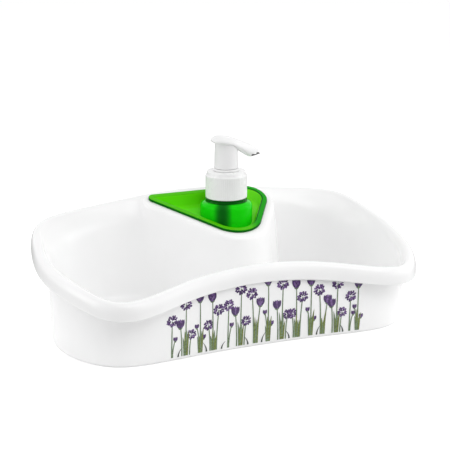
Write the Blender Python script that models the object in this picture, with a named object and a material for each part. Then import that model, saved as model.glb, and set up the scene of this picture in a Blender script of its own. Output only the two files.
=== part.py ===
"""Dish soap holder: a sink-side tray with two basins, a lift-out soap tank and a screw-on pump.

Metres, +Z up. The tray rests on z = 0, +X runs along its length, and its front faces -Y.
The pump is modelled locked down, so it rises from this pose.
"""
import math

import bmesh
import bpy
import numpy as np

# Tray plan: the crest is the highest line of the rolled rim, the foot is the outline at the bottom
RIM_HALF_LENGTH = 0.1395
RIM_HALF_DEPTH = 0.0780
RIM_BACK_HEIGHT = 0.0870
# How far the foot stands in from the crest, at the ends and at the front and back
FOOT_TUCK_ENDS = 0.0027
FOOT_TUCK_SIDES = 0.0030
FOOT_HALF_LENGTH = RIM_HALF_LENGTH - FOOT_TUCK_ENDS
FOOT_HALF_DEPTH = RIM_HALF_DEPTH - FOOT_TUCK_SIDES
# Half of each outline, from the middle of the front round the +X end to the middle of the back
RIM_X_SHARES = (0.0, 0.41, 0.75, 0.92, 1.0, 0.97, 0.86, 0.50, 0.0)
RIM_Y_SHARES = (-0.79, -0.86, -1.0, -0.69, -0.09, 0.46, 0.79, 0.94, 1.0)
RIM_HEIGHT_SHARES = (0.705, 0.655, 0.585, 0.645, 0.72, 0.82, 0.90, 0.95, 1.0)
FOOT_X_SHARES = (0.0, 0.37, 0.70, 0.90, 1.0, 0.955, 0.765, 0.42, 0.0)
FOOT_Y_SHARES = (-0.785, -0.815, -0.85, -0.65, -0.18, 0.36, 0.77, 0.95, 1.0)
TRAY_SEGMENTS = 80

# Tray section
WALL = 0.0020
FLOOR = 0.0020
FOOT_RISE = 0.0015
FOOT_BAND = 0.0050
FOOT_EDGE = 0.0018
BASIN_FILLET = 0.0100
ROLL_INSIDE = 0.0032
ROLL_OUTSIDE = 0.0058
ROLL_DROP = 0.0127
# Points of the rolled rim, as shares of its outside reach and its drop
ROLL_SKIN_SHARES = ((0.85, 0.35), (1.0, 0.65), (1.0, 1.0))
ROLL_OUTER_SHARES = ((0.0, 0.0), (0.33, 0.03), (0.64, 0.14), (0.86, 0.36), (0.96, 0.65), (1.0, 0.96))
ROLL_INNER_STEPS = 3
WALL_DRAFT = 0.0018
WALL_STEPS = 3

# Pump place and the sloping plane of the tank cover's lip
PUMP_X = 0.0210
PUMP_Y = 0.0460
LIP_DROP = 0.0097
LIP_HEIGHT = RIM_BACK_HEIGHT - LIP_DROP
LIP_SLOPE = 0.36
# The collar's foot stands over the lip's plane at the pump, and the boss stops short of it
COLLAR_RISE = 0.0077
SHOULDER_HEIGHT = 0.0030
COLLAR_HEIGHT = LIP_HEIGHT + COLLAR_RISE
BOSS_HEIGHT = COLLAR_HEIGHT - SHOULDER_HEIGHT
# Cover outline: three straight sides round the pump axis, by the direction that each faces
SIDE_TURNS = (-34.0, 90.0, 222.0)
SIDE_REACHES = (0.0295, 0.0255, 0.0300)
# Corner radii, each between its side and the next
CORNER_RADII = (0.0155, 0.0045, 0.0240)
LEAST_CORNER = 0.0004
CORNER_STEPS = 9

# Centre hump of the tray, and the well in it for the tank
RIDGE_WIDTH = 0.0060
RIDGE_ROUND = 0.0030
HUMP_SPREAD = 0.0050
HUMP_STEPS = 4
WELL_INSET = 0.0015
WELL_TAPER = 0.0032

# Clearances
SEAT_GAP = 0.0003
SLIDE_GAP = 0.0004
TURN_GAP = 0.00035

# Tank and cover
TANK_WALL = 0.0014
TANK_FLOOR = 0.0020
TANK_FOOT_GAP = 0.0010
LIP_THICKNESS = 0.0018
LIP_WIDTH = 0.0042
LIP_ROUND = 0.0007
COVER_WALL = 0.0016
RECESS_DEPTH = 0.0080
RECESS_RUN = 0.0036
BOSS_RADIUS = 0.0208
BOSS_ROUND = 0.0043
BOSS_WALL = 0.0018
SHOULDER_RADIUS = 0.0164
NECK_RADIUS = 0.0125
NECK_BORE = 0.0108
NECK_LENGTH = 0.0134

# Collar and its thread
COLLAR_RADIUS = 0.0165
COLLAR_SIDE = 0.0185
COLLAR_STEP = 0.0012
COLLAR_TOP = 0.0029
COLLAR_ROUND = 0.0010
COLLAR_RIBS = 48
COLLAR_RIB_DEPTH = 0.0004
COLLAR_BORE = 0.01405
THREAD_LEAD = 0.00423
THREAD_TURNS = 1.25
THREAD_DEPTH = 0.0012
THREAD_ROOT = 0.0020
THREAD_CREST = 0.0011
THREAD_BITE = 0.0004
THREAD_START = 0.0045
THREAD_TURN_STEPS = 32

# Pump stack, upwards from the neck
SEAL_THICKNESS = 0.0010
SEAL_RADIUS = 0.0134
FLANGE_THICKNESS = 0.0012
LOCK_FLANGE_RADIUS = 0.0128
LOCK_FLANGE = 0.0010
LOCK_TUBE_RADIUS = 0.0087
LOCK_LIP_RADIUS = 0.01035
LOCK_LIP = 0.0015
LOCK_SKIRT_RADIUS = 0.0063
LOCK_SKIRT_DROP = 0.0060
HOUSING_RADIUS = 0.0080
HOUSING_BORE = 0.0068
HOUSING_DROP = 0.0400
HOUSING_TAPER = 0.0055
SOCKET_RADIUS = 0.0048
SOCKET_LENGTH = 0.0090
SEAT_BORE = 0.0016
TUBE_RADIUS = 0.0032
TUBE_BORE = 0.0022
TUBE_FOOT_GAP = 0.0040

# Moving pump pieces
HEAD_HEIGHT = 0.0500
STROKE = 0.0180
STEM_RADIUS = 0.0045
STEM_BORE = 0.0021
STEM_VALVE_BORE = 0.0011
STEM_VALVE_DEPTH = 0.0060
STEM_DROP = 0.0108
STEM_TOP = HEAD_HEIGHT - STEM_DROP
PISTON_TOP = -0.0180
PISTON_LENGTH = 0.0080
PISTON_WAIST = 0.0058
SPRING_RADIUS = 0.0050
SPRING_WIRE = 0.0005
SPRING_TURNS = 7
SPRING_TURN_POINTS = 10
BALL_RADIUS = 0.0025
CAGE_HEIGHT = 0.0040
CAGE_RIM = 0.0062
CAGE_HOLE = 0.0015
OUTLET_BALL_RADIUS = 0.0017

# Pump head, above the collar's foot
HEAD_FOOT_RADIUS = 0.0095
HEAD_NECK_RADIUS = 0.0090
HEAD_WALL = 0.0014
HEAD_LENGTH = 0.0282
HEAD_TAIL = 0.0135
HEAD_HALF_WIDTH = 0.0105
HEAD_STEM_SOCKET = 0.0066
HEAD_SOCKET_DEPTH = 0.0100
HEAD_SOCKET_FOOT = STEM_TOP - HEAD_SOCKET_DEPTH
NOZZLE_BORE = 0.0015
# Stations along the head, by place between tail and tip, then top, underside and half width
HEAD_PLACE_SHARES = (0.0, 0.05, 0.17, 0.33, 0.47, 0.60, 0.72, 0.82, 1.0)
HEAD_TOP_SHARES = (0.935, 0.965, 1.0, 0.983, 0.943, 0.893, 0.838, 0.785, 0.668)
HEAD_UNDER_SHARES = (0.91, 0.885, 0.868, 0.85, 0.82, 0.765, 0.69, 0.63, 0.53)
HEAD_WIDTH_SHARES = (0.28, 0.68, 0.98, 1.0, 0.86, 0.68, 0.55, 0.49, 0.44)
HEAD_SECTION_POINTS = 20
NOZZLE_HEIGHT_SHARES = (0.91, 0.865, 0.755, 0.685, 0.57)
NOZZLE_PLACE_SHARES = (0.30, 0.52, 0.74, 0.88, 1.08)
# The sloping cut that ends the nozzle, from its lower edge to its upper one
CUT_PLACE_SHARES = (0.815, 0.995)
CUT_HEIGHT_SHARES = (0.632, 0.665)

TURNED_SEGMENTS = 40
SMOOTH_ANGLE = math.radians(35.0)

WHITE_PLASTIC = ("white plastic", (0.86, 0.86, 0.86), 0.22, 0.0, 0.0)
PUMP_PLASTIC = ("pump plastic", (0.88, 0.88, 0.88), 0.28, 0.0, 0.0)
CLEAR_GREEN = ("clear green plastic", (0.05, 0.62, 0.02), 0.08, 0.0, 0.85)
NATURAL_PLASTIC = ("natural plastic", (0.80, 0.80, 0.78), 0.35, 0.0, 0.3)
SEAL_RUBBER = ("seal rubber", (0.75, 0.75, 0.74), 0.6, 0.0, 0.0)
SPRING_STEEL = ("spring steel", (0.62, 0.62, 0.64), 0.25, 1.0, 0.0)
GLASS_BALL = ("glass ball", (0.75, 0.85, 0.80), 0.05, 0.0, 0.8)


def clear_scene():
    for old in list(bpy.data.objects):
        bpy.data.objects.remove(old)


def paint(target, finish):
    title, colour, roughness, metallic, transmission = finish
    material = bpy.data.materials.new(f"{target.name} {title}")
    material.use_nodes = True
    shader = material.node_tree.nodes["Principled BSDF"]
    shader.inputs["Base Color"].default_value = (*colour, 1.0)
    shader.inputs["Roughness"].default_value = roughness
    shader.inputs["Metallic"].default_value = metallic
    shader.inputs["Transmission Weight"].default_value = transmission
    material.diffuse_color = (*colour, 1.0)
    target.data.materials.append(material)


def solid_from_rings(name, rings, looped=False):
    """A closed body through rings of equal count: capped at both ends, or looped back to the first."""
    bm = bmesh.new()
    loops = [[bm.verts.new(point) for point in ring] for ring in rings]
    pairs = list(zip(loops, loops[1:]))
    if looped:
        pairs.append((loops[-1], loops[0]))
    else:
        bm.faces.new(loops[0])
        bm.faces.new(loops[-1])
    count = len(loops[0])
    for lower, upper in pairs:
        for index in range(count):
            following = (index + 1) % count
            bm.faces.new((lower[index], lower[following], upper[following], upper[index]))
    bmesh.ops.recalc_face_normals(bm, faces=bm.faces)
    mesh = bpy.data.meshes.new(name)
    bm.to_mesh(mesh)
    bm.free()
    solid = bpy.data.objects.new(name, mesh)
    bpy.context.collection.objects.link(solid)
    return solid


def smooth(target):
    target.data.shade_smooth()
    target.data.set_sharp_from_angle(angle=SMOOTH_ANGLE)


def combine(target, tool, operation):
    """Leave a Boolean on the target, with its tool kept as a hidden guide."""
    modifier = target.modifiers.new(tool.name, "BOOLEAN")
    modifier.object = tool
    modifier.operation = operation
    modifier.solver = "EXACT"
    tool.hide_render = True
    tool.display_type = "WIRE"


def circle(radius, height, segments=TURNED_SEGMENTS, centre=(0.0, 0.0)):
    turns = [2 * math.pi * index / segments for index in range(segments)]
    return [(centre[0] + radius * math.cos(turn), centre[1] + radius * math.sin(turn), height)
            for turn in turns]


def pump_circle(radius, height):
    return circle(radius, height, centre=(PUMP_X, PUMP_Y))


def turned(name, profile, looped=False):
    """A round body about the pump axis from (radius, height) points."""
    return solid_from_rings(name, [pump_circle(radius, height) for radius, height in profile], looped)


def above_collar(*profile):
    """Profile points whose heights are given from the collar's foot."""
    return [(radius, COLLAR_HEIGHT + height) for radius, height in profile]


def mirrored(shares, sign):
    return np.array(list(shares) + [sign * share for share in shares[-2:0:-1]])


def closed_cubic(knots, count):
    """Points at equal steps along the closed cubic through equally spaced knots."""
    size = len(knots)
    steps = np.arange(size)
    weights = np.zeros((size, size))
    weights[steps, steps] = 4 / 6
    weights[steps, (steps + 1) % size] = 1 / 6
    weights[steps, steps - 1] = 1 / 6
    control = np.linalg.solve(weights, knots)
    place = np.arange(count) * size / count
    start = place.astype(int)
    u = place - start
    blends = ((1 - u) ** 3, 3 * u ** 3 - 6 * u ** 2 + 4, -3 * u ** 3 + 3 * u ** 2 + 3 * u + 1, u ** 3)
    return sum(blend * control[(start + shift) % size] / 6 for shift, blend in zip((-1, 0, 1, 2), blends))


def outline(x_shares, y_shares, half_length, half_depth):
    """Points of a closed outline and the direction that faces out at each."""
    x = closed_cubic(mirrored(x_shares, -1.0), TRAY_SEGMENTS) * half_length
    y = closed_cubic(mirrored(y_shares, 1.0), TRAY_SEGMENTS)
    y = (y - (y.max() + y.min()) / 2) * half_depth
    along = np.roll(x, -1) - np.roll(x, 1), np.roll(y, -1) - np.roll(y, 1)
    span = np.hypot(*along)
    return np.stack((x, y)), np.stack((along[1] / span, -along[0] / span))


class TrayPlan:
    """The rim's crest line and the foot's outline, with rings at a distance from either."""

    def __init__(self):
        self.rim, self.rim_out = outline(RIM_X_SHARES, RIM_Y_SHARES, RIM_HALF_LENGTH, RIM_HALF_DEPTH)
        self.foot, self.foot_out = outline(FOOT_X_SHARES, FOOT_Y_SHARES, FOOT_HALF_LENGTH, FOOT_HALF_DEPTH)
        self.crest = closed_cubic(mirrored(RIM_HEIGHT_SHARES, 1.0), TRAY_SEGMENTS) * RIM_BACK_HEIGHT

    def at_rim(self, out, drop):
        return np.vstack((self.rim + out * self.rim_out, self.crest - drop)).T

    def at_foot(self, out, height):
        return np.vstack((self.foot + out * self.foot_out, np.full(TRAY_SEGMENTS, height))).T

    def under_rim(self, out, drop):
        """The foot's outline, raised to a drop under the rim's crest."""
        return np.vstack((self.foot + out * self.foot_out, self.crest - drop)).T


def between(first, last, steps):
    """Rings between two others, both left out."""
    return [first + (last - first) * step / (steps + 1) for step in range(1, steps + 1)]


def tray_shell(plan):
    floor_top = FOOT_RISE + FLOOR
    shell_reach = ROLL_OUTSIDE - WALL
    wall_place = WALL - ROLL_INSIDE
    rings = [
        plan.at_foot(-FOOT_EDGE - FOOT_BAND - FOOT_RISE, FOOT_RISE),
        plan.at_foot(-FOOT_EDGE - FOOT_BAND, 0.0),
        plan.at_foot(-FOOT_EDGE, 0.0),
        plan.at_foot(-FOOT_EDGE * 0.3, FOOT_EDGE * 0.3),
        plan.at_foot(0.0, FOOT_EDGE),
    ]
    wall_top = plan.under_rim(WALL_DRAFT, ROLL_DROP)
    rings += between(rings[-1], wall_top, WALL_STEPS)
    rings.append(wall_top)
    rings.append(plan.at_rim(wall_place, ROLL_INSIDE + WALL))
    rings.append(plan.at_rim(wall_place / 2, WALL + WALL / 4))
    rings.append(plan.at_rim(shell_reach / 2, WALL + WALL / 8))
    rings += [plan.at_rim(shell_reach * out, ROLL_DROP * drop) for out, drop in ROLL_SKIN_SHARES]
    rings.append(plan.at_rim(ROLL_OUTSIDE - WALL * 0.2, ROLL_DROP))
    rings += [plan.at_rim(ROLL_OUTSIDE * out, ROLL_DROP * drop) for out, drop in ROLL_OUTER_SHARES[::-1]]
    for step in range(1, ROLL_INNER_STEPS + 1):
        turn = math.pi / 2 * step / ROLL_INNER_STEPS
        rings.append(plan.at_rim(-ROLL_INSIDE * math.sin(turn), ROLL_INSIDE * (1 - math.cos(turn))))
    basin_side = plan.at_foot(-WALL, floor_top + BASIN_FILLET)
    rings.append(plan.under_rim(WALL_DRAFT - WALL, ROLL_DROP))
    rings += between(rings[-1], basin_side, WALL_STEPS)
    rings.append(basin_side)
    for step in range(1, 4):
        turn = math.pi / 2 * step / 3
        run = BASIN_FILLET * (1 - math.cos(turn))
        rings.append(plan.at_foot(-WALL - run, floor_top + BASIN_FILLET * (1 - math.sin(turn))))
    return solid_from_rings("tray", rings)


def tray_core(plan):
    """The space inside the middle of the tray's wall, which bounds the hump."""
    rings = [
        plan.at_foot(-WALL / 2, FOOT_RISE + FLOOR / 2),
        plan.under_rim(WALL_DRAFT - WALL / 2, ROLL_DROP),
        plan.at_rim(WALL / 2 - ROLL_INSIDE, ROLL_INSIDE),
        plan.at_rim(0.0, -ROLL_INSIDE),
    ]
    return solid_from_rings("tray_core_guide", rings)


def side_normal(index):
    turn = math.radians(SIDE_TURNS[index % 3])
    return np.array((math.cos(turn), math.sin(turn)))


def corner_centre(index, offset, radius):
    """Where an arc touches its side and the next, both moved out by the offset."""
    normals = np.array((side_normal(index), side_normal(index + 1)))
    reaches = np.array((SIDE_REACHES[index], SIDE_REACHES[(index + 1) % 3]))
    return np.linalg.solve(normals, reaches + offset - radius)


def cover_outline(offset):
    """The cover's outline moved out by the offset, as (x, y) points."""
    points = []
    for index in range(3):
        radius = max(CORNER_RADII[index] + offset, LEAST_CORNER)
        centre = corner_centre(index, offset, radius)
        first = SIDE_TURNS[index]
        last = SIDE_TURNS[(index + 1) % 3]
        if last < first:
            last += 360.0
        for step in range(CORNER_STEPS):
            turn = math.radians(first + (last - first) * step / (CORNER_STEPS - 1))
            points.append((PUMP_X + centre[0] + radius * math.cos(turn),
                           PUMP_Y + centre[1] + radius * math.sin(turn)))
    return np.array(points)


def lip_plane(y):
    return LIP_HEIGHT + LIP_SLOPE * (y - PUMP_Y)


def sloped_ring(offset, drop):
    """A ring of the cover's outline at a drop under the lip's plane."""
    points = cover_outline(offset)
    return np.column_stack((points, lip_plane(points[:, 1]) - drop))


def level_ring(offset, height):
    points = cover_outline(offset)
    return np.column_stack((points, np.full(len(points), height)))


def tray_hump():
    ridge_drop = LIP_THICKNESS + SEAT_GAP
    rings = []
    for step in range(4):
        turn = math.pi / 2 * step / 3
        out = RIDGE_WIDTH - RIDGE_ROUND * (1 - math.sin(turn))
        rings.append(sloped_ring(out, ridge_drop + RIDGE_ROUND * (1 - math.cos(turn))))
    floor_top = FOOT_RISE + FLOOR
    foot = level_ring(RIDGE_WIDTH + HUMP_SPREAD, floor_top + BASIN_FILLET)
    rings += between(rings[-1], foot, HUMP_STEPS)
    rings.append(foot)
    for step in range(1, 4):
        turn = math.pi / 2 * step / 3
        out = RIDGE_WIDTH + HUMP_SPREAD + BASIN_FILLET * (1 - math.cos(turn))
        rings.append(level_ring(out, floor_top + BASIN_FILLET * (1 - math.sin(turn))))
    rings.append(level_ring(RIDGE_WIDTH + HUMP_SPREAD + BASIN_FILLET, FOOT_RISE + FLOOR / 2))
    return solid_from_rings("tray_hump_guide", rings)


def tank_well():
    over = sloped_ring(-WELL_INSET, -RIDGE_WIDTH)
    ledge = sloped_ring(-WELL_INSET, LIP_THICKNESS + SEAT_GAP)
    foot = level_ring(-WELL_INSET - WELL_TAPER, FOOT_RISE + FLOOR)
    return solid_from_rings("tank_well_guide", [over, ledge, foot])


def hump_groove():
    """The room between the well and the hump's front walls, open to the underside."""
    front_arc = slice(2 * CORNER_STEPS, 3 * CORNER_STEPS)
    tip_end = 2 * CORNER_STEPS - 1

    def ring(make_ring, out, inner, height):
        outer = make_ring(out, height)
        inside = make_ring(inner, height)
        outer_path = [outer[tip_end], *outer[front_arc], outer[0]]
        inner_path = [inside[tip_end], *inside[front_arc], inside[0]]
        return outer_path + inner_path[::-1]

    top_drop = LIP_THICKNESS + SEAT_GAP + WALL * 1.5
    well_top = WALL - WELL_INSET
    well_foot = well_top - WELL_TAPER
    side_foot = RIDGE_WIDTH + HUMP_SPREAD - WALL
    rings = [
        ring(sloped_ring, RIDGE_WIDTH - WALL, well_top, top_drop),
        ring(level_ring, side_foot, well_foot, FOOT_RISE + FLOOR + BASIN_FILLET),
        ring(level_ring, side_foot, well_foot, -WALL),
    ]
    return solid_from_rings("hump_groove_guide", rings)


def groove_limit(plan):
    """The room inside the foot ring, which keeps the groove clear of the tray's outer wall."""
    inset = FOOT_EDGE + FOOT_BAND + FOOT_RISE + WALL
    rings = [plan.at_foot(-inset, -FLOOR * 2), plan.under_rim(-inset, 0.0)]
    return solid_from_rings("groove_limit_guide", rings)


def make_tray():
    plan = TrayPlan()
    tray = tray_shell(plan)
    hump = tray_hump()
    combine(hump, tray_core(plan), "INTERSECT")
    combine(tray, hump, "UNION")
    combine(tray, tank_well(), "DIFFERENCE")
    groove = hump_groove()
    combine(groove, groove_limit(plan), "INTERSECT")
    combine(tray, groove, "DIFFERENCE")
    smooth(tray)
    paint(tray, WHITE_PLASTIC)


def make_tank():
    side = -WELL_INSET - SLIDE_GAP
    top_drop = LIP_THICKNESS + SEAT_GAP
    foot = FOOT_RISE + FLOOR + TANK_FOOT_GAP
    rings = [
        level_ring(side - WELL_TAPER - TANK_FLOOR, foot),
        level_ring(side - WELL_TAPER, foot + TANK_FLOOR),
        sloped_ring(side, top_drop),
        sloped_ring(side - TANK_WALL, top_drop),
        level_ring(side - WELL_TAPER - TANK_WALL, foot + TANK_FLOOR * 2),
        level_ring(side - WELL_TAPER - TANK_WALL - TANK_FLOOR, foot + TANK_FLOOR),
    ]
    tank = solid_from_rings("soap_tank", rings)
    smooth(tank)
    paint(tank, CLEAR_GREEN)


def cover_dish():
    dish_side = -WELL_INSET - SLIDE_GAP - TANK_WALL - SEAT_GAP
    under = RECESS_DEPTH + COVER_WALL
    rings = [
        sloped_ring(-LIP_WIDTH - RECESS_RUN, RECESS_DEPTH),
        sloped_ring(-LIP_WIDTH - RECESS_RUN * 0.75, RECESS_DEPTH * 0.9),
        sloped_ring(-LIP_WIDTH - LIP_ROUND * 0.3, LIP_ROUND),
        sloped_ring(-LIP_WIDTH + LIP_ROUND, 0.0),
        sloped_ring(-LIP_ROUND, 0.0),
        sloped_ring(-LIP_ROUND * 0.3, LIP_ROUND * 0.3),
        sloped_ring(0.0, LIP_ROUND),
        sloped_ring(0.0, LIP_THICKNESS),
        sloped_ring(dish_side, LIP_THICKNESS),
        sloped_ring(dish_side, LIP_THICKNESS + COVER_WALL),
        sloped_ring(-LIP_WIDTH - RECESS_RUN + COVER_WALL, under),
    ]
    return solid_from_rings("tank_cover", rings)


def cover_boss():
    """The round boss on the sloping floor of the recess, its shoulder and its neck."""
    sunk = RECESS_DEPTH + COVER_WALL / 2
    rings = [[(x, y, lip_plane(y) - sunk) for x, y, _ in pump_circle(BOSS_RADIUS, 0.0)]]
    for step in range(4):
        turn = math.pi / 2 * step / 3
        radius = BOSS_RADIUS - BOSS_ROUND * (1 - math.cos(turn))
        rings.append(pump_circle(radius, BOSS_HEIGHT - BOSS_ROUND * (1 - math.sin(turn))))
    shoulder_top = COLLAR_HEIGHT - SEAT_GAP
    rings.append(pump_circle(SHOULDER_RADIUS, shoulder_top))
    rings.append(pump_circle(NECK_RADIUS, shoulder_top))
    rings.append(pump_circle(NECK_RADIUS, COLLAR_HEIGHT + NECK_LENGTH))
    return solid_from_rings("cover_boss_guide", rings)


def cover_bore():
    inside = BOSS_RADIUS - BOSS_WALL
    shoulder = BOSS_HEIGHT - BOSS_WALL
    profile = (
        (inside, LIP_HEIGHT - BOSS_RADIUS - RECESS_DEPTH),
        (inside, shoulder - BOSS_ROUND),
        (inside - BOSS_ROUND, shoulder),
        (NECK_BORE, shoulder),
        (NECK_BORE, COLLAR_HEIGHT + NECK_LENGTH * 2),
    )
    return turned("cover_bore_guide", profile)


def thread_ridge(name, wall_radius, outward, start):
    """A helical ridge on a round wall, sunk into it and fading out at both ends."""
    steps = round(THREAD_TURNS * THREAD_TURN_STEPS)
    fade_steps = THREAD_TURN_STEPS / 8
    rings = []
    for step in range(steps + 1):
        turn = 2 * math.pi * step / THREAD_TURN_STEPS
        fade = min(1.0, step / fade_steps, (steps - step) / fade_steps)
        reach = wall_radius + outward * (THREAD_DEPTH * fade - THREAD_BITE * (1 - fade) / 2)
        root = wall_radius - outward * THREAD_BITE
        middle = COLLAR_HEIGHT + start + THREAD_LEAD * step / THREAD_TURN_STEPS
        section = ((root, -THREAD_ROOT / 2), (reach, -THREAD_CREST / 2),
                   (reach, THREAD_CREST / 2), (root, THREAD_ROOT / 2))
        rings.append([(PUMP_X + radius * math.cos(turn), PUMP_Y + radius * math.sin(turn), middle + rise)
                      for radius, rise in section])
    return solid_from_rings(name, rings)


def make_cover():
    cover = cover_dish()
    combine(cover, cover_boss(), "UNION")
    combine(cover, cover_bore(), "DIFFERENCE")
    combine(cover, thread_ridge("neck_thread_guide", NECK_RADIUS, 1.0, THREAD_START), "UNION")
    smooth(cover)
    paint(cover, CLEAR_GREEN)


def neck_top():
    return NECK_LENGTH + SEAT_GAP


def flange_foot():
    return neck_top() + SEAL_THICKNESS + SEAT_GAP


def lock_foot():
    return flange_foot() + FLANGE_THICKNESS + SEAT_GAP


def collar_ceiling():
    return lock_foot() + LOCK_FLANGE + SEAT_GAP


def collar_peak():
    return COLLAR_SIDE + COLLAR_TOP


def ribbed_circle(radius, height):
    """A circle whose points step in at every other one, for the grip's fine ribs."""
    points = circle(radius, height, COLLAR_RIBS * 2, (PUMP_X, PUMP_Y))
    inner = circle(radius - COLLAR_RIB_DEPTH, height, COLLAR_RIBS * 2, (PUMP_X, PUMP_Y))
    return [points[index] if index % 2 else inner[index] for index in range(COLLAR_RIBS * 2)]


def make_collar():
    segments = COLLAR_RIBS * 2
    foot = COLLAR_HEIGHT
    shoulder = foot + COLLAR_SIDE
    peak = foot + collar_peak()
    ceiling = foot + collar_ceiling()
    hole = LOCK_TUBE_RADIUS + TURN_GAP
    top_radius = COLLAR_RADIUS - COLLAR_STEP

    def plain(radius, height):
        return circle(radius, height, segments, (PUMP_X, PUMP_Y))

    rings = [
        plain(COLLAR_BORE, foot),
        plain(COLLAR_RADIUS - COLLAR_RIB_DEPTH, foot),
        plain(COLLAR_RADIUS, foot + COLLAR_RIB_DEPTH),
        plain(COLLAR_RADIUS, foot + COLLAR_ROUND),
        ribbed_circle(COLLAR_RADIUS, foot + COLLAR_ROUND * 1.5),
        ribbed_circle(COLLAR_RADIUS, shoulder - COLLAR_ROUND * 1.5),
        plain(COLLAR_RADIUS, shoulder - COLLAR_ROUND),
        plain(COLLAR_RADIUS - COLLAR_RIB_DEPTH, shoulder),
        plain(top_radius, shoulder),
        plain(top_radius, peak - COLLAR_ROUND),
        plain(top_radius - COLLAR_ROUND * 0.3, peak - COLLAR_ROUND * 0.3),
        plain(top_radius - COLLAR_ROUND, peak),
        plain(hole, peak),
        plain(hole, ceiling),
        plain(COLLAR_BORE, ceiling),
    ]
    collar = solid_from_rings("collar", rings, looped=True)
    start = THREAD_START - THREAD_LEAD / 2
    combine(collar, thread_ridge("collar_thread_guide", COLLAR_BORE, -1.0, start), "UNION")
    smooth(collar)
    paint(collar, PUMP_PLASTIC)


def make_seal():
    profile = above_collar((NECK_BORE, neck_top()), (SEAL_RADIUS, neck_top()),
                           (SEAL_RADIUS, neck_top() + SEAL_THICKNESS),
                           (NECK_BORE, neck_top() + SEAL_THICKNESS))
    seal = turned("neck_seal", profile, looped=True)
    smooth(seal)
    paint(seal, SEAL_RUBBER)


def make_housing():
    foot = flange_foot()
    top = foot + FLANGE_THICKNESS
    barrel_end = -HOUSING_DROP
    socket_end = barrel_end - HOUSING_TAPER - SOCKET_LENGTH
    seat = barrel_end - HOUSING_TAPER
    profile = above_collar(
        (HOUSING_RADIUS, foot), (SEAL_RADIUS, foot), (SEAL_RADIUS, top), (HOUSING_BORE, top),
        (HOUSING_BORE, barrel_end), (BALL_RADIUS + SLIDE_GAP, barrel_end),
        (BALL_RADIUS + SLIDE_GAP, seat + SEAT_BORE), (SEAT_BORE, seat), (SEAT_BORE, seat - SEAT_BORE),
        (TUBE_RADIUS + SEAT_GAP, seat - SEAT_BORE), (TUBE_RADIUS + SEAT_GAP, socket_end),
        (SOCKET_RADIUS, socket_end), (SOCKET_RADIUS, barrel_end - HOUSING_TAPER),
        (HOUSING_RADIUS, barrel_end))
    housing = turned("pump_housing", profile, looped=True)
    smooth(housing)
    paint(housing, NATURAL_PLASTIC)


def make_lock_ring():
    foot = lock_foot()
    lip_foot = collar_peak() + SEAT_GAP
    lip_top = lip_foot + LOCK_LIP
    bore = STEM_RADIUS + SLIDE_GAP
    profile = above_collar(
        (bore, foot - LOCK_SKIRT_DROP), (LOCK_SKIRT_RADIUS, foot - LOCK_SKIRT_DROP),
        (LOCK_SKIRT_RADIUS, foot), (LOCK_FLANGE_RADIUS, foot), (LOCK_FLANGE_RADIUS, foot + LOCK_FLANGE),
        (LOCK_TUBE_RADIUS, foot + LOCK_FLANGE), (LOCK_TUBE_RADIUS, lip_foot),
        (LOCK_LIP_RADIUS, lip_foot), (LOCK_LIP_RADIUS, lip_top - LOCK_LIP / 3),
        (LOCK_LIP_RADIUS - LOCK_LIP / 3, lip_top), (bore, lip_top))
    ring = turned("lock_ring", profile, looped=True)
    smooth(ring)
    paint(ring, PUMP_PLASTIC)


def make_stem():
    foot = PISTON_TOP - PISTON_LENGTH
    seat = STEM_TOP - STEM_VALVE_DEPTH
    profile = above_collar((STEM_BORE, foot), (STEM_RADIUS, foot), (STEM_RADIUS, STEM_TOP),
                           (STEM_BORE, STEM_TOP), (STEM_BORE, seat + STEM_BORE), (STEM_VALVE_BORE, seat),
                           (STEM_VALVE_BORE, seat - STEM_BORE), (STEM_BORE, seat - STEM_BORE * 2))
    stem = turned("pump_stem", profile, looped=True)
    smooth(stem)
    paint(stem, PUMP_PLASTIC)


def make_piston():
    top = PISTON_TOP
    foot = top - PISTON_LENGTH
    bore = STEM_RADIUS + SEAT_GAP
    wiper = HOUSING_BORE - SLIDE_GAP
    profile = above_collar((bore, foot), (wiper, foot), (wiper, foot + PISTON_LENGTH * 0.2),
                           (PISTON_WAIST, foot + PISTON_LENGTH * 0.35),
                           (PISTON_WAIST, top - PISTON_LENGTH * 0.35),
                           (wiper, top - PISTON_LENGTH * 0.2), (wiper, top), (bore, top))
    piston = turned("piston", profile, looped=True)
    smooth(piston)
    paint(piston, NATURAL_PLASTIC)


def cage_foot():
    return -HOUSING_DROP + SEAT_GAP


def make_ball_cage():
    """The pierced cup that keeps the inlet ball down and carries the spring."""
    foot = cage_foot()
    profile = above_collar((CAGE_HOLE, foot + CAGE_HEIGHT / 2), (BALL_RADIUS + SLIDE_GAP, foot),
                           (CAGE_RIM, foot), (CAGE_RIM, foot + CAGE_HEIGHT / 2),
                           (BALL_RADIUS + SLIDE_GAP, foot + CAGE_HEIGHT / 2),
                           (CAGE_HOLE, foot + CAGE_HEIGHT))
    cage = turned("ball_cage", profile, looped=True)
    smooth(cage)
    paint(cage, NATURAL_PLASTIC)


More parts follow.
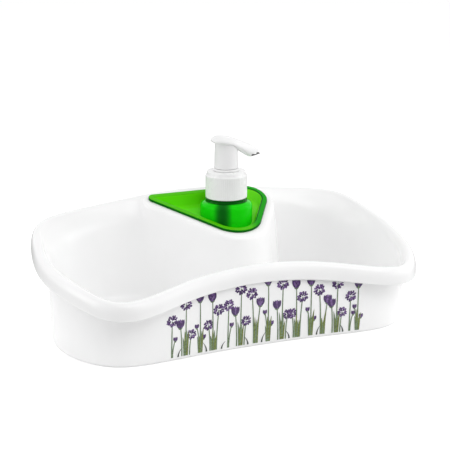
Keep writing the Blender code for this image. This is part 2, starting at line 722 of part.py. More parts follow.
def make_spring():
    foot = COLLAR_HEIGHT + cage_foot() + CAGE_HEIGHT / 2 + SEAT_GAP + SPRING_WIRE
    top = COLLAR_HEIGHT + PISTON_TOP - PISTON_LENGTH - SEAT_GAP - SPRING_WIRE
    steps = SPRING_TURNS * SPRING_TURN_POINTS
    curve = bpy.data.curves.new("pump_spring", "CURVE")
    curve.dimensions = "3D"
    curve.bevel_depth = SPRING_WIRE
    curve.bevel_resolution = 1
    curve.use_fill_caps = True
    spline = curve.splines.new("POLY")
    spline.points.add(steps)
    for step in range(steps + 1):
        turn = 2 * math.pi * step / SPRING_TURN_POINTS
        spline.points[step].co = (SPRING_RADIUS * math.cos(turn), SPRING_RADIUS * math.sin(turn),
                                  (top - foot) * step / steps, 1.0)
    spring = bpy.data.objects.new("pump_spring", curve)
    spring.location = (PUMP_X, PUMP_Y, foot)
    bpy.context.collection.objects.link(spring)
    paint(spring, SPRING_STEEL)


def make_ball(name, radius, height, finish):
    bm = bmesh.new()
    bmesh.ops.create_icosphere(bm, subdivisions=2, radius=radius)
    mesh = bpy.data.meshes.new(name)
    bm.to_mesh(mesh)
    bm.free()
    ball = bpy.data.objects.new(name, mesh)
    ball.location = (PUMP_X, PUMP_Y, COLLAR_HEIGHT + height)
    bpy.context.collection.objects.link(ball)
    mesh.shade_smooth()
    paint(ball, finish)


def resting_height(radius, bore, bore_height, mouth, mouth_height):
    """The centre height of a ball that lies a seat gap off a cone between two radii."""
    rise = mouth_height - bore_height
    spread = mouth - bore
    return mouth_height + ((radius + SEAT_GAP) * math.hypot(rise, spread) - mouth * rise) / spread


def make_balls():
    seat = -HOUSING_DROP - HOUSING_TAPER
    height = resting_height(BALL_RADIUS, SEAT_BORE, seat, BALL_RADIUS + SLIDE_GAP, seat + SEAT_BORE)
    make_ball("inlet_ball", BALL_RADIUS, height, GLASS_BALL)
    seat = STEM_TOP - STEM_VALVE_DEPTH
    height = resting_height(OUTLET_BALL_RADIUS, STEM_VALVE_BORE, seat, STEM_BORE, seat + STEM_BORE)
    make_ball("outlet_ball", OUTLET_BALL_RADIUS, height, GLASS_BALL)


def make_dip_tube():
    top = COLLAR_HEIGHT - HOUSING_DROP - HOUSING_TAPER - SEAT_BORE - SEAT_GAP
    foot = FOOT_RISE + FLOOR + TANK_FOOT_GAP + TANK_FLOOR + TUBE_FOOT_GAP
    profile = ((TUBE_BORE, foot), (TUBE_RADIUS, foot), (TUBE_RADIUS, top), (TUBE_BORE, top))
    tube = turned("dip_tube", profile, looped=True)
    smooth(tube)
    paint(tube, NATURAL_PLASTIC)


def head_section(place, top, under, half_width):
    """An oval section across the head, flatter under than on top."""
    middle = under + (top - under) * 0.35
    points = []
    for index in range(HEAD_SECTION_POINTS):
        turn = 2 * math.pi * index / HEAD_SECTION_POINTS
        reach = top - middle if math.sin(turn) > 0 else middle - under
        side = math.copysign(abs(math.cos(turn)) ** 0.8, math.cos(turn))
        height = COLLAR_HEIGHT + middle + reach * math.sin(turn)
        points.append((PUMP_X + place, PUMP_Y + half_width * side, height))
    return points


def head_paddle():
    rings = []
    stations = zip(HEAD_PLACE_SHARES, HEAD_TOP_SHARES, HEAD_UNDER_SHARES, HEAD_WIDTH_SHARES)
    for place, top, under, width in stations:
        rings.append(head_section(-HEAD_TAIL + (HEAD_TAIL + HEAD_LENGTH) * place, HEAD_HEIGHT * top,
                                  HEAD_HEIGHT * under, HEAD_HALF_WIDTH * width))
    return solid_from_rings("pump_head", rings)


def head_foot():
    return collar_peak() + SEAT_GAP + LOCK_LIP + SEAT_GAP


def head_skirt():
    inside_top = HEAD_HEIGHT * HEAD_UNDER_SHARES[3] + HEAD_WALL
    profile = above_collar((HEAD_FOOT_RADIUS, head_foot()), (HEAD_NECK_RADIUS, head_foot() + STROKE),
                           (HEAD_NECK_RADIUS, inside_top))
    return turned("head_skirt_guide", profile)


def head_hollow():
    """The room under the head: round the stem's socket, up the socket and on to the nozzle's bore."""
    foot = head_foot() - HEAD_WALL
    ceiling = HEAD_HEIGHT * HEAD_UNDER_SHARES[3] - HEAD_WALL
    bore = STEM_RADIUS + SEAT_GAP
    profile = above_collar((HEAD_FOOT_RADIUS - HEAD_WALL, foot), (HEAD_NECK_RADIUS - HEAD_WALL, ceiling),
                           (HEAD_STEM_SOCKET, ceiling), (HEAD_STEM_SOCKET, HEAD_SOCKET_FOOT),
                           (bore, HEAD_SOCKET_FOOT), (bore, STEM_TOP + SEAT_GAP),
                           (NOZZLE_BORE, STEM_TOP + SEAT_GAP),
                           (NOZZLE_BORE, HEAD_HEIGHT * NOZZLE_HEIGHT_SHARES[0]))
    return turned("head_hollow_guide", profile)


def nozzle_bore():
    rings = []
    length = HEAD_TAIL + HEAD_LENGTH
    for place, height in zip(NOZZLE_PLACE_SHARES, NOZZLE_HEIGHT_SHARES):
        x = PUMP_X - HEAD_TAIL + length * place
        z = COLLAR_HEIGHT + HEAD_HEIGHT * height
        rings.append([(x, PUMP_Y + across, z + up)
                      for across, up, _ in circle(NOZZLE_BORE, 0.0, HEAD_SECTION_POINTS)])
    return solid_from_rings("nozzle_bore_guide", rings)


def head_end_cut():
    """The wedge under the sloping face that ends the nozzle."""
    length = HEAD_TAIL + HEAD_LENGTH
    start, end = [np.array((PUMP_X - HEAD_TAIL + length * place, COLLAR_HEIGHT + HEAD_HEIGHT * height))
                  for place, height in zip(CUT_PLACE_SHARES, CUT_HEIGHT_SHARES)]
    below, beyond = start * 2 - end, end * 2 - start
    section = (below, beyond, (beyond[0], COLLAR_HEIGHT), (below[0], COLLAR_HEIGHT))
    rings = [[(x, PUMP_Y + side, z) for x, z in section] for side in (-HEAD_HALF_WIDTH, HEAD_HALF_WIDTH)]
    return solid_from_rings("head_end_guide", rings)


def make_head():
    head = head_paddle()
    combine(head, head_end_cut(), "DIFFERENCE")
    combine(head, head_skirt(), "UNION")
    combine(head, head_hollow(), "DIFFERENCE")
    combine(head, nozzle_bore(), "DIFFERENCE")
    smooth(head)
    paint(head, PUMP_PLASTIC)


def main():
    clear_scene()
    make_tray()
    make_tank()
    make_cover()
    make_collar()
    make_seal()
    make_housing()
    make_lock_ring()
    make_stem()
    make_piston()
    make_ball_cage()
    make_spring()
    make_balls()
    make_dip_tube()
    make_head()


main()
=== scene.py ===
import math
import random

import bmesh
import bpy
import numpy as np
from bpy.props import FloatProperty, FloatVectorProperty, IntProperty, PointerProperty
from mathutils import Matrix, Vector
from mathutils.bvhtree import BVHTree


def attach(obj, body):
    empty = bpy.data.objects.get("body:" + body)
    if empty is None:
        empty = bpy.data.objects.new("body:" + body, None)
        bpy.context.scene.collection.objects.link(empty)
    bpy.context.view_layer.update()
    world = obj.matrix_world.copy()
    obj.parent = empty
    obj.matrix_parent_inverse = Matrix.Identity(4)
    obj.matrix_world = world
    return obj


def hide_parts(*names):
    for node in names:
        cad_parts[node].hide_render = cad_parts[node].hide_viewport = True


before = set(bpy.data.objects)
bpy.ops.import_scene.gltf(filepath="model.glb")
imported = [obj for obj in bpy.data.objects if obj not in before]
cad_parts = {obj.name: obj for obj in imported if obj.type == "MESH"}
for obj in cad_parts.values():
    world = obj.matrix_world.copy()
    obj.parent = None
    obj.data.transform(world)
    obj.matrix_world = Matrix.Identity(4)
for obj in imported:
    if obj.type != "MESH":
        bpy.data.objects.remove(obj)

bl_info = {
    "name": "Dish Soap Holder",
    "version": (1, 0, 0),
    "blender": (4, 5, 0),
    "location": "View3D > Sidebar > Soap Holder",
    "description": "Visual model of a two-basin dish soap holder with a screw-on pump",
    "category": "Object",
}

MM = 0.001
SIN_45 = math.sqrt(0.5)
# Where the middle ring of a rounded corner stands, as a share of the corner's size
BEVEL = 0.3

# Tray plan, in the CAD model's own sizes
RIM_HALF_LENGTH = 139.5 * MM
RIM_HALF_DEPTH = 78.0 * MM
RIM_BACK_HEIGHT = 87.0 * MM
FOOT_HALF_LENGTH = 136.8 * MM
FOOT_HALF_DEPTH = 75.0 * MM
RIM_X_SHARES = (0.0, 0.41, 0.75, 0.92, 1.0, 0.97, 0.86, 0.50, 0.0)
RIM_Y_SHARES = (-0.79, -0.86, -1.0, -0.69, -0.09, 0.46, 0.79, 0.94, 1.0)
RIM_HEIGHT_SHARES = (0.705, 0.655, 0.585, 0.645, 0.72, 0.82, 0.90, 0.95, 1.0)
FOOT_X_SHARES = (0.0, 0.37, 0.70, 0.90, 1.0, 0.955, 0.765, 0.42, 0.0)
FOOT_Y_SHARES = (-0.785, -0.815, -0.85, -0.65, -0.18, 0.36, 0.77, 0.95, 1.0)
KNOTS = 16
OUTLINE_SAMPLES = 80

# Tray section
WALL = 2.0 * MM
FLOOR = 2.0 * MM
FOOT_RISE = 1.5 * MM
FLOOR_TOP = FOOT_RISE + FLOOR
FOOT_BAND = 5.0 * MM
FOOT_EDGE = 1.8 * MM
BASIN_FILLET = 10.0 * MM
ROLL_INSIDE = 3.2 * MM
ROLL_OUTSIDE = 5.8 * MM
ROLL_DROP = 12.7 * MM
# The roll's skins inside and outside, as (out, down) shares of its reach and drop
ROLL_SKIN = ((0.85, 0.35), (1.0, 0.65), (1.0, 1.0))
ROLL_OUTER = ((1.0, 0.96), (0.96, 0.65), (0.86, 0.36), (0.64, 0.14), (0.33, 0.03), (0.0, 0.0))
# How deep the roll is hollow under its crest and how its edge slants, as shares of the wall
ROLL_HOLLOW = (1.25, 1.125)
ROLL_SLANT = 0.2
# Levels up the outer wall, as shares of its height
SHELL_SHARES = (0.0, 0.12, 0.4, 0.7)
WALL_DRAFT = 1.8 * MM

# Pump place, the sloping plane of the cover's lip and the cover's outline
PUMP_X = 21.0 * MM
PUMP_Y = 46.0 * MM
LIP_HEIGHT = 77.3 * MM
LIP_SLOPE = 0.36
COLLAR_HEIGHT = 85.0 * MM
BOSS_HEIGHT = 82.0 * MM
SIDE_TURNS = (-34.0, 90.0, 222.0)
SIDE_REACHES = (29.5 * MM, 25.5 * MM, 30.0 * MM)
CORNER_RADII = (15.5 * MM, 4.5 * MM, 24.0 * MM)
LEAST_CORNER = 0.4 * MM
ARC_POINTS = 20
SIDE_POINTS = 12

# Tank and cover
TANK_WALL = 1.4 * MM
TANK_FLOOR = 2.0 * MM
TANK_FOOT_GAP = 1.0 * MM
LIP_THICKNESS = 1.8 * MM
LIP_WIDTH = 4.2 * MM
LIP_ROUND = 0.7 * MM
# The roundings of the lip's two edges, as (into the lip, down) shares of LIP_ROUND
LIP_INNER = ((-0.3, 0.6), (0.3, 0.12), (1.0, 0.0))
LIP_OUTER = ((1.0, 0.0), (0.4, 0.12), (0.1, 0.4), (0.0, 1.0))
LIP_BEVEL = 0.2 * MM
COVER_WALL = 1.6 * MM
COVER_SEGMENTS = 128
RECESS_DEPTH = 8.0 * MM
RECESS_RUN = 3.6 * MM
RECESS_FLAT = 1.2 * MM
RECESS_DIP = 0.15 * MM
# The recess's side as (out, share of its depth) and its top as (in from the lip, share of LIP_ROUND)
RECESS_SIDE = ((0.9 * MM, 0.9), (1.5 * MM, 0.75))
RECESS_TOP = (0.5 * MM, 1.6)
BOSS_RADIUS = 20.8 * MM
BOSS_ROUND = 4.3 * MM
BOSS_STEPS = 6
BOSS_WALL = 1.8 * MM
SHOULDER_RADIUS = 16.4 * MM
SHOULDER_BEVEL = 0.3 * MM
SHOULDER_RISE = 0.9 * MM
NECK_RADIUS = 12.5 * MM
NECK_BORE = 10.8 * MM
NECK_LENGTH = 13.4 * MM

# Centre hump and the well in it
RIDGE_WIDTH = 6.0 * MM
RIDGE_ROUND = 3.0 * MM
HUMP_SIDE = RIDGE_WIDTH + 5.0 * MM
WELL_INSET = 1.5 * MM
WELL_TAPER = 3.2 * MM
WELL_EDGE = 0.1 * MM
WELL_EDGE_DROP = 1.5 * MM
WELL_CORNER = 2.0 * MM
WELL_CORNER_SHARE = 0.92
SEAT_GAP = 0.3 * MM
SLIDE_GAP = 0.4 * MM
SEAT_DROP = LIP_THICKNESS + SEAT_GAP
TANK_SIDE = -WELL_INSET - SLIDE_GAP

# The tray's control cage: where the basin may meet the hump, in knots, and how its columns spread
HUMP_SEARCH = (3.5, 12.5, 1201)
LINE_STEPS = 400
BASIN_CROWDING = 0.35
BACK_COLUMNS = 22
LAND_ENDS = (0.01, 0.99)
LAND_SHARE = 0.6
LEDGE_CREASE = 0.8
FOOT_CREASE = 0.9
# Levels down the basin's wall: share of the wall's own height, then share of the hump's
WALL_LEVELS = ((0.0, 0.14), (0.25, 0.35), (0.5, 0.57), (0.75, 0.785))
FILLET_TURNS = [math.radians(turn) for turn in (0.0, 30.0, 60.0, 90.0)]
FLOOR_BAND = 1.35
# How far the left basin's corner sweeps along the wall and the hump, from the rim to the floor
SWEEP = [reach * MM for reach in (9.0, 17.0, 24.0, 28.0, 30.0, 30.0, 30.0, 29.0, 28.0, 26.0)]
# How far under the seat the groove's roof lies, as a share of the wall
GROOVE_DROP = 1.5
ROOM_POINTS = 120

# Collar and its thread; the collar's roundings are (in, along) in millimetres
COLLAR_RADIUS = 16.5 * MM
COLLAR_SIDE = 18.5 * MM
COLLAR_STEP = 1.2 * MM
COLLAR_TOP = 2.9 * MM
COLLAR_BORE = 14.05 * MM
COLLAR_HOLE = 9.05 * MM
COLLAR_HOLE_EDGE = 0.2 * MM
COLLAR_CEILING = 18.0 * MM
COLLAR_FOOT_ROUND = ((0.5, 0.0), (0.15, 0.15), (0.0, 0.5))
COLLAR_SIDE_ROUND = ((0.1, 0.5), (0.35, 0.1), (0.6, 0.0))
COLLAR_STEP_ROUND = (0.1 * MM, 0.15 * MM)
COLLAR_TOP_ROUND = ((0.0, 1.1), (0.15, 0.5), (0.5, 0.12), (1.1, 0.0))
RIB_WAVE = (0.0, 0.7, 1.0, 0.7)
RIB_FOOT = 1.1 * MM
RIB_FULL = 1.8 * MM
RIB_END = 1.2 * MM
THREAD_LEAD = 4.23 * MM
THREAD_DEPTH = 1.2 * MM
THREAD_BITE = 0.4 * MM
THREAD_ROOT = 1.0 * MM
THREAD_FLAT = 0.55 * MM
THREAD_CROWN = 0.12 * MM
THREAD_START = 4.5 * MM
THREAD_TURNS = 1.25
THREAD_FADE = 1 / 8
THREAD_POINTS = 64

# Pump head, with its stations from the tail to the nozzle's end as shares of its size
STEM_RADIUS = 4.5 * MM
HEAD_HEIGHT = 50.0 * MM
HEAD_FOOT_RADIUS = 9.5 * MM
HEAD_NECK_RADIUS = 9.0 * MM
HEAD_FOOT_BEVEL = 0.3 * MM
HEAD_WALL = 1.4 * MM
HEAD_LENGTH = 27.7 * MM
HEAD_TAIL = 12.2 * MM
HEAD_SPAN = HEAD_TAIL + HEAD_LENGTH
HEAD_HALF_WIDTH = 10.5 * MM
HEAD_POINTS = 48
HEAD_MIDDLE = 0.35
HEAD_SQUARENESS = 0.8
LOCK_LIP = 1.5 * MM
STROKE = 18.0 * MM
STEM_TOP = 39.2 * MM
HEAD_SOCKET_FOOT = 29.2 * MM
HEAD_STEM_SOCKET = 6.6 * MM
NOZZLE_BORE = 1.5 * MM
HEAD_PLACES = (0.0, 0.05, 0.17, 0.33, 0.47, 0.60, 0.72, 0.82, 1.0)
HEAD_TOPS = (0.925, 0.955, 0.988, 0.972, 0.937, 0.897, 0.855, 0.820, 0.715)
HEAD_UNDERS = (0.90, 0.877, 0.860, 0.832, 0.775, 0.715, 0.648, 0.606, 0.60)
HEAD_WIDTHS = (0.28, 0.68, 0.98, 1.0, 0.86, 0.68, 0.55, 0.49, 0.44)
HEAD_STATIONS = (0.0, 0.012, 0.03, *np.linspace(0.055, 0.985, 40), 0.995, 1.0)
SKIRT_TOP = 45.2 * MM
HOLLOW_TOP = 0.88
# The soap's way: place along the head, share of its height and how wide it is for its bore
NOZZLE_STATIONS = ((0.30, 0.91, 1.0), (0.52, 0.865, 1.0), (0.74, 0.755, 1.0), (0.80, 0.725, 1.0),
                   (0.86, 0.695, 1.5), (1.08, 0.57, 1.7))
NOZZLE_POINTS = 24
# The sloping cut that ends the nozzle, from its lower edge to its upper one, and the slot in it
CUT_PLACES = (0.776, 0.995)
CUT_HEIGHTS = (0.628, 0.668)
SLOT_START = 0.12
SLOT_LIP = 0.3 * MM
SLOT_HEIGHT = 1.5 * MM

# Angles, in degrees, over which edges stay sharp
TANK_SHARP = 32.0
COVER_SHARP = 30.0
TRAY_SHARP = 38.0
COLLAR_SHARP = 40.0
HEAD_SHARP = 42.0

# The tank's own clearness, then the cover's stains as shares of the settings
TANK_CLEARNESS = 0.8
DISH_CLEARNESS = 0.3
SOFT_CLEARNESS = 0.6
LIP_SHADE = 0.8
LIP_DARK_SHADE = 0.55
# How far the boss's stain and the shoulder's painted shade reach past them
BOSS_MARGIN = 0.1 * MM
SHOULDER_MARGIN = 0.8 * MM
# Where colours change, from the pump's axis to the right
PALE_RUN = (PUMP_X + 8.0 * MM, PUMP_X + 20.0 * MM)
DARK_RUN = (PUMP_X + 6.0 * MM, PUMP_X + 17.0 * MM)
# The boss's painted shade bands: their count, the turn of one, which faces the camera, and where they
# fade in their wave
BANDS = 3.0
BAND_TURN = math.radians(-121.6)
BAND_RUN = (0.35, 1.05)
DISH, BOSS, EDGE, LIP, INNER_EDGE = range(5)

# Moulded plastic: where its colour drift turns, its uneven polish and its ripple's depth
DRIFT_STOPS = (0.3, 0.7)
DRIFT_DETAIL = 3.0
POLISH_SCALE = 90.0
POLISH_DETAIL = 4.0
POLISH_SPREAD = (0.85, 1.2)
RIPPLE_DEPTH = 0.1 * MM

# The pump's inner nodes, which keep their CAD meshes: title, colour, roughness, options and nodes
MECHANISM = (
    ("natural pump plastic", (0.78, 0.78, 0.74), 0.35,
     {"sockets": {"Transmission Weight": 0.3, "IOR": 1.5}},
     ("pump_housing", "piston", "ball_cage", "dip_tube")),
    ("spring steel", (0.62, 0.62, 0.64), 0.25,
     {"ripple": 0.2, "ripple_scale": 900.0, "sockets": {"Metallic": 1.0}}, ("pump_spring",)),
    ("valve ball glass", (0.72, 0.84, 0.78), 0.04,
     {"ripple": 0.01, "sockets": {"Transmission Weight": 0.8, "IOR": 1.5}},
     ("inlet_ball", "outlet_ball")),
    ("grey seal rubber", (0.62, 0.62, 0.60), 0.6,
     {"ripple": 0.4, "ripple_scale": 1500.0}, ("neck_seal",)),
)

# Camera that took the photograph
CAMERA_PLACE = (-0.35172861, -0.80465932, 0.30521926)
CAMERA_TURN = math.radians(-23.6)
CAMERA_DIP = math.radians(14.7)
CAMERA_LENS = 96.0
CAMERA_SENSOR = 36.0
CAMERA_NEAR = 0.01

# The light tent with its opening toward the camera, the table top and the soft lamps
WHITE = (1.0, 1.0, 1.0, 1.0)
TENT_GAP_TURN = math.radians(-20.0)
TENT_GAP = (math.sin(TENT_GAP_TURN), -math.cos(TENT_GAP_TURN))
TENT_GAP_RISE = 0.12
TENT_GAP_CONES = (math.cos(math.radians(52.0)), math.cos(math.radians(16.0)))
FLOOR_HALF = 5.0
FLOOR_GLOW = 0.36
FLOOR_SHADE = 0.15
FLOOR_GAP_RUN = (0.16, 0.45)
FLOOR_CARD_RUN = (0.15, 0.32)
LAMP_AIM = Vector((0.0, 0.0, 0.05))
# Each lamp's place and size
SOFTBOXES = {
    "high": ((0.2, -0.9, 1.1), (0.9, 0.6)),
    "front": ((0.9, -0.95, 0.5), (0.9, 0.6)),
    "left": ((-1.25, 0.15, 0.5), (0.9, 0.8)),
    "right": ((1.2, -0.3, 0.5), (0.9, 0.8)),
}

# What every colour setting shares
COLOUR = {"subtype": "COLOR", "size": 3, "min": 0.0, "max": 1.0}


# Settings
class TraySettings(bpy.types.PropertyGroup):
    columns: IntProperty(name="Basin columns", description="Columns of faces round the basin's wall",
                         default=84, min=40, max=160)
    hump_columns: IntProperty(name="Hump columns",
                              description="Columns of faces round the centre hump",
                              default=40, min=20, max=80)
    smoothness: IntProperty(name="Smoothness",
                            description="Subdivision levels of the moulded shell",
                            default=2, min=0, max=3)
    colour: FloatVectorProperty(name="Tray colour", description="Colour of the tray's plastic",
                                default=(0.972, 0.972, 0.972), **COLOUR)


class PrintSettings(bpy.types.PropertyGroup):
    lift: FloatProperty(name="Ink lift", description="How far the ink stands off the wall",
                        default=0.06 * MM, unit="LENGTH")
    violet: FloatVectorProperty(name="Violet ink", description="Colour of the flower heads",
                                default=(0.065, 0.026, 0.12), **COLOUR)
    green: FloatVectorProperty(name="Green ink", description="Colour of the stems",
                               default=(0.15, 0.22, 0.12), **COLOUR)
    olive: FloatVectorProperty(name="Olive ink", description="Colour of the lower leaves",
                               default=(0.15, 0.19, 0.04), **COLOUR)
    light_violet: FloatVectorProperty(name="Light violet ink",
                                      description="Colour of the upper petals",
                                      default=(0.17, 0.09, 0.26), **COLOUR)
    dark: FloatVectorProperty(name="Dark ink", description="Colour of the grass blades",
                              default=(0.03, 0.04, 0.03), **COLOUR)


class TankSettings(bpy.types.PropertyGroup):
    colour: FloatVectorProperty(name="Lime plastic", description="Colour of the cover's thin dish",
                                default=(0.14, 0.86, 0.006), **COLOUR)
    deep: FloatVectorProperty(name="Deep plastic", description="Colour where the plastic is thicker",
                              default=(0.015, 0.85, 0.008), **COLOUR)
    # This colour also gives the painted shade on the shoulder under the collar and in the boss's
    # bands
    edge: FloatVectorProperty(name="Edge plastic",
                              description="Colour of the edges, seen along the sheet",
                              default=(0.006, 0.16, 0.012), **COLOUR)
    pale: FloatVectorProperty(name="Pale plastic", description="Colour of the dish right of the boss",
                              default=(0.22, 0.95, 0.03), **COLOUR)
    clearness: FloatProperty(name="Clearness", description="Share of the light that goes through",
                             default=0.45, min=0.0, max=1.0, subtype="FACTOR")


class PumpSettings(bpy.types.PropertyGroup):
    segments: IntProperty(name="Segments", description="Points round each turned piece",
                          default=96, min=24, max=256)
    ribs: IntProperty(name="Collar ribs", description="Fine grip ribs round the collar",
                      default=60, min=12, max=120)
    rib_depth: FloatProperty(name="Rib depth", description="Depth of the grip ribs",
                             default=0.3 * MM, unit="LENGTH")
    colour: FloatVectorProperty(name="Pump colour", description="Colour of the pump's plastic",
                                default=(0.93, 0.93, 0.93), **COLOUR)


class StageSettings(bpy.types.PropertyGroup):
    world: FloatProperty(name="Tent light", description="Strength of the even light from all round",
                         default=0.75, min=0.0, max=4.0)
    gap: FloatProperty(name="Tent opening", description="How much dimmer the tent is where it opens",
                       default=0.4, min=0.0, max=1.0)
    high: FloatProperty(name="High light", description="Power of the soft light high in front",
                        default=3.4, min=0.0, unit="POWER")
    front: FloatProperty(name="Front light", description="Power of the soft light at the front right",
                         default=1.6, min=0.0, unit="POWER")
    left: FloatProperty(name="Left light", description="Power of the soft light at the left",
                        default=4.0, min=0.0, unit="POWER")
    right: FloatProperty(name="Right light", description="Power of the soft light at the right",
                         default=3.0, min=0.0, unit="POWER")
    floor: FloatVectorProperty(name="Floor colour", description="Colour of the table top",
                               default=(0.88, 0.88, 0.88), **COLOUR)


# Meshes
def object_from(name, verts, faces, body, replaces=(), creases=None):
    mesh = bpy.data.meshes.new(name)
    mesh.from_pydata([tuple(v) for v in verts], [], faces)
    mesh.validate()
    piece = bpy.data.objects.new(name, mesh)
    bpy.context.collection.objects.link(piece)
    bm = bmesh.new()
    bm.from_mesh(mesh)
    bmesh.ops.recalc_face_normals(bm, faces=bm.faces)
    if creases:
        layer = bm.edges.layers.float.new("crease_edge")
        for edge in bm.edges:
            edge[layer] = creases.get(frozenset(v.index for v in edge.verts), 0.0)
    bm.to_mesh(mesh)
    bm.free()
    mesh.shade_smooth()
    if body:
        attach(piece, body)
        if replaces:
            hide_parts(*replaces)
    return piece


def loft(name, rings, body=None, replaces=(), looped=False):
    """A closed body through rings of equal count, capped at its ends or looped on itself."""
    count = len(rings[0])
    verts = [point for ring in rings for point in ring]
    faces = []
    last = len(rings) if looped else len(rings) - 1
    for row in range(last):
        here = row * count
        above = (row + 1) % len(rings) * count
        for index in range(count):
            after = (index + 1) % count
            faces.append((here + index, here + after, above + after, above + index))
    if not looped:
        faces.append(tuple(range(count)))
        faces.append(tuple(range((len(rings) - 1) * count, len(rings) * count)))
    return object_from(name, verts, faces, body, replaces)


def combine(target, tool, operation):
    modifier = target.modifiers.new(tool.name, "BOOLEAN")
    modifier.object = tool
    modifier.operation = operation
    modifier.solver = "EXACT"


def settle(target, *tools):
    """Apply the target's modifiers and remove the tools that they used."""
    graph = bpy.context.evaluated_depsgraph_get()
    mesh = bpy.data.meshes.new_from_object(target.evaluated_get(graph))
    target.modifiers.clear()
    target.data = mesh
    for tool in tools:
        bpy.data.objects.remove(tool)


def sharpen(target, degrees):
    """Shade the mesh smooth, with sharp edges over the angle."""
    target.data.shade_smooth()
    target.data.set_sharp_from_angle(angle=math.radians(degrees))


def even_turns(count):
    return np.arange(count) * 2 * math.pi / count


def round_pump(reach, turns, height):
    """Points round the pump's axis, at one reach or at a reach for each turn."""
    return np.column_stack((PUMP_X + reach * np.cos(turns), PUMP_Y + reach * np.sin(turns),
                            np.full(len(turns), height)))


def turned(name, profile, count, base=0.0):
    """A body turned about the pump's axis, from its (radius, height) profile over the base."""
    turns = even_turns(count)
    return loft(name, [round_pump(radius, turns, base + height) for radius, height in profile])


def run_along(points):
    """How far along the line each of its points lies."""
    steps = np.linalg.norm(np.diff(points, axis=0), axis=1)
    return np.concatenate(([0.0], np.cumsum(steps)))


def at_height(points, height):
    return np.column_stack((points, np.full(len(points), height)))


# Tray lines
def mirrored(shares, sign):
    return np.array(list(shares) + [sign * share for share in shares[-2:0:-1]])


class Closed:
    """A closed cubic line through equally spaced knots."""

    def __init__(self, knots):
        size = len(knots)
        steps = np.arange(size)
        weights = np.zeros((size, size))
        weights[steps, steps] = 4 / 6
        weights[steps, (steps + 1) % size] = 1 / 6
        weights[steps, steps - 1] = 1 / 6
        self.size = size
        self.control = np.linalg.solve(weights, knots)

    def near(self, place):
        place = np.asarray(place, float) % self.size
        start = place.astype(int)
        parts = [self.control[(start + shift) % self.size] for shift in (-1, 0, 1, 2)]
        return place - start, parts

    def at(self, place):
        u, (a, b, c, d) = self.near(place)
        return (a * (1 - u) ** 3 + b * (3 * u ** 3 - 6 * u ** 2 + 4)
                + c * (-3 * u ** 3 + 3 * u ** 2 + 3 * u + 1) + d * u ** 3) / 6

    def slope(self, place):
        u, (a, b, c, d) = self.near(place)
        return (-a * (1 - u) ** 2 + b * (3 * u ** 2 - 4 * u)
                + c * (-3 * u ** 2 + 2 * u + 1) + d * u ** 2) / 2


class Outline:
    """A closed plan line, centred front to back."""

    def __init__(self, x_shares, y_shares, half_length, half_depth):
        self.x = Closed(mirrored(x_shares, -1.0) * half_length)
        shares = mirrored(y_shares, 1.0)
        samples = Closed(shares).at(np.arange(OUTLINE_SAMPLES) * KNOTS / OUTLINE_SAMPLES)
        middle = (samples.max() + samples.min()) / 2
        self.y = Closed((shares - middle) * half_depth)

    def at(self, place, out):
        x, y = self.x.at(place), self.y.at(place)
        dx, dy = self.x.slope(place), self.y.slope(place)
        span = np.hypot(dx, dy)
        return np.column_stack((x + out * dy / span, y - out * dx / span))


RIM = Outline(RIM_X_SHARES, RIM_Y_SHARES, RIM_HALF_LENGTH, RIM_HALF_DEPTH)
FOOT = Outline(FOOT_X_SHARES, FOOT_Y_SHARES, FOOT_HALF_LENGTH, FOOT_HALF_DEPTH)
CREST = Closed(mirrored(RIM_HEIGHT_SHARES, 1.0) * RIM_BACK_HEIGHT)


def at_rim(place, out, drop):
    return np.column_stack((RIM.at(place, out), CREST.at(place) - drop))


def at_foot(place, out, height):
    return at_height(FOOT.at(place, out), height)


def under_rim(place, out, drop):
    return np.column_stack((FOOT.at(place, out), CREST.at(place) - drop))


# Cover outline
def side_normal(index):
    turn = math.radians(SIDE_TURNS[index % 3])
    return np.array((math.cos(turn), math.sin(turn)))


def cover_outline(offset):
    """The cover's outline moved out by the offset: arcs and straight sides, of constant count."""
    arcs = []
    for index in range(3):
        radius = max(CORNER_RADII[index] + offset, LEAST_CORNER)
        normals = np.array((side_normal(index), side_normal(index + 1)))
        reaches = np.array((SIDE_REACHES[index], SIDE_REACHES[(index + 1) % 3]))
        centre = np.linalg.solve(normals, reaches + offset - radius)
        first = SIDE_TURNS[index]
        last = SIDE_TURNS[(index + 1) % 3]
        if last < first:
            last += 360.0
        turns = np.radians(np.linspace(first, last, ARC_POINTS))
        arcs.append(np.column_stack((PUMP_X + centre[0] + radius * np.cos(turns),
                                     PUMP_Y + centre[1] + radius * np.sin(turns))))
    pieces = []
    shares = np.arange(1, SIDE_POINTS + 1)[:, None] / (SIDE_POINTS + 1)
    for arc, following in zip(arcs, arcs[1:] + arcs[:1]):
        start, end = arc[-1], following[0]
        pieces += [arc, start + (end - start) * shares]
    return np.vstack(pieces)


def lip_plane(y):
    return LIP_HEIGHT + LIP_SLOPE * (y - PUMP_Y)


def sloped_ring(offset, drop):
    points = cover_outline(offset)
    return np.column_stack((points, lip_plane(points[:, 1]) - drop))


def level_ring(offset, height):
    return at_height(cover_outline(offset), height)


def along(ring, place):
    """Points of a closed ring at places counted in its own points."""
    place = np.asarray(place, float) % len(ring)
    start = place.astype(int)
    share = (place - start)[:, None]
    return ring[start] * (1 - share) + ring[(start + 1) % len(ring)] * share


def inside(ring, points):
    a = ring[:, :2]
    b = np.roll(a, -1, axis=0)
    flags = []
    for x, y in points[:, :2]:
        crosses = (a[:, 1] > y) != (b[:, 1] > y)
        with np.errstate(divide="ignore", invalid="ignore"):
            cut = a[:, 0] + (y - a[:, 1]) * (b[:, 0] - a[:, 0]) / (b[:, 1] - a[:, 1])
        flags.append(np.count_nonzero(crosses & (x < cut)) % 2 == 1)
    return np.array(flags)


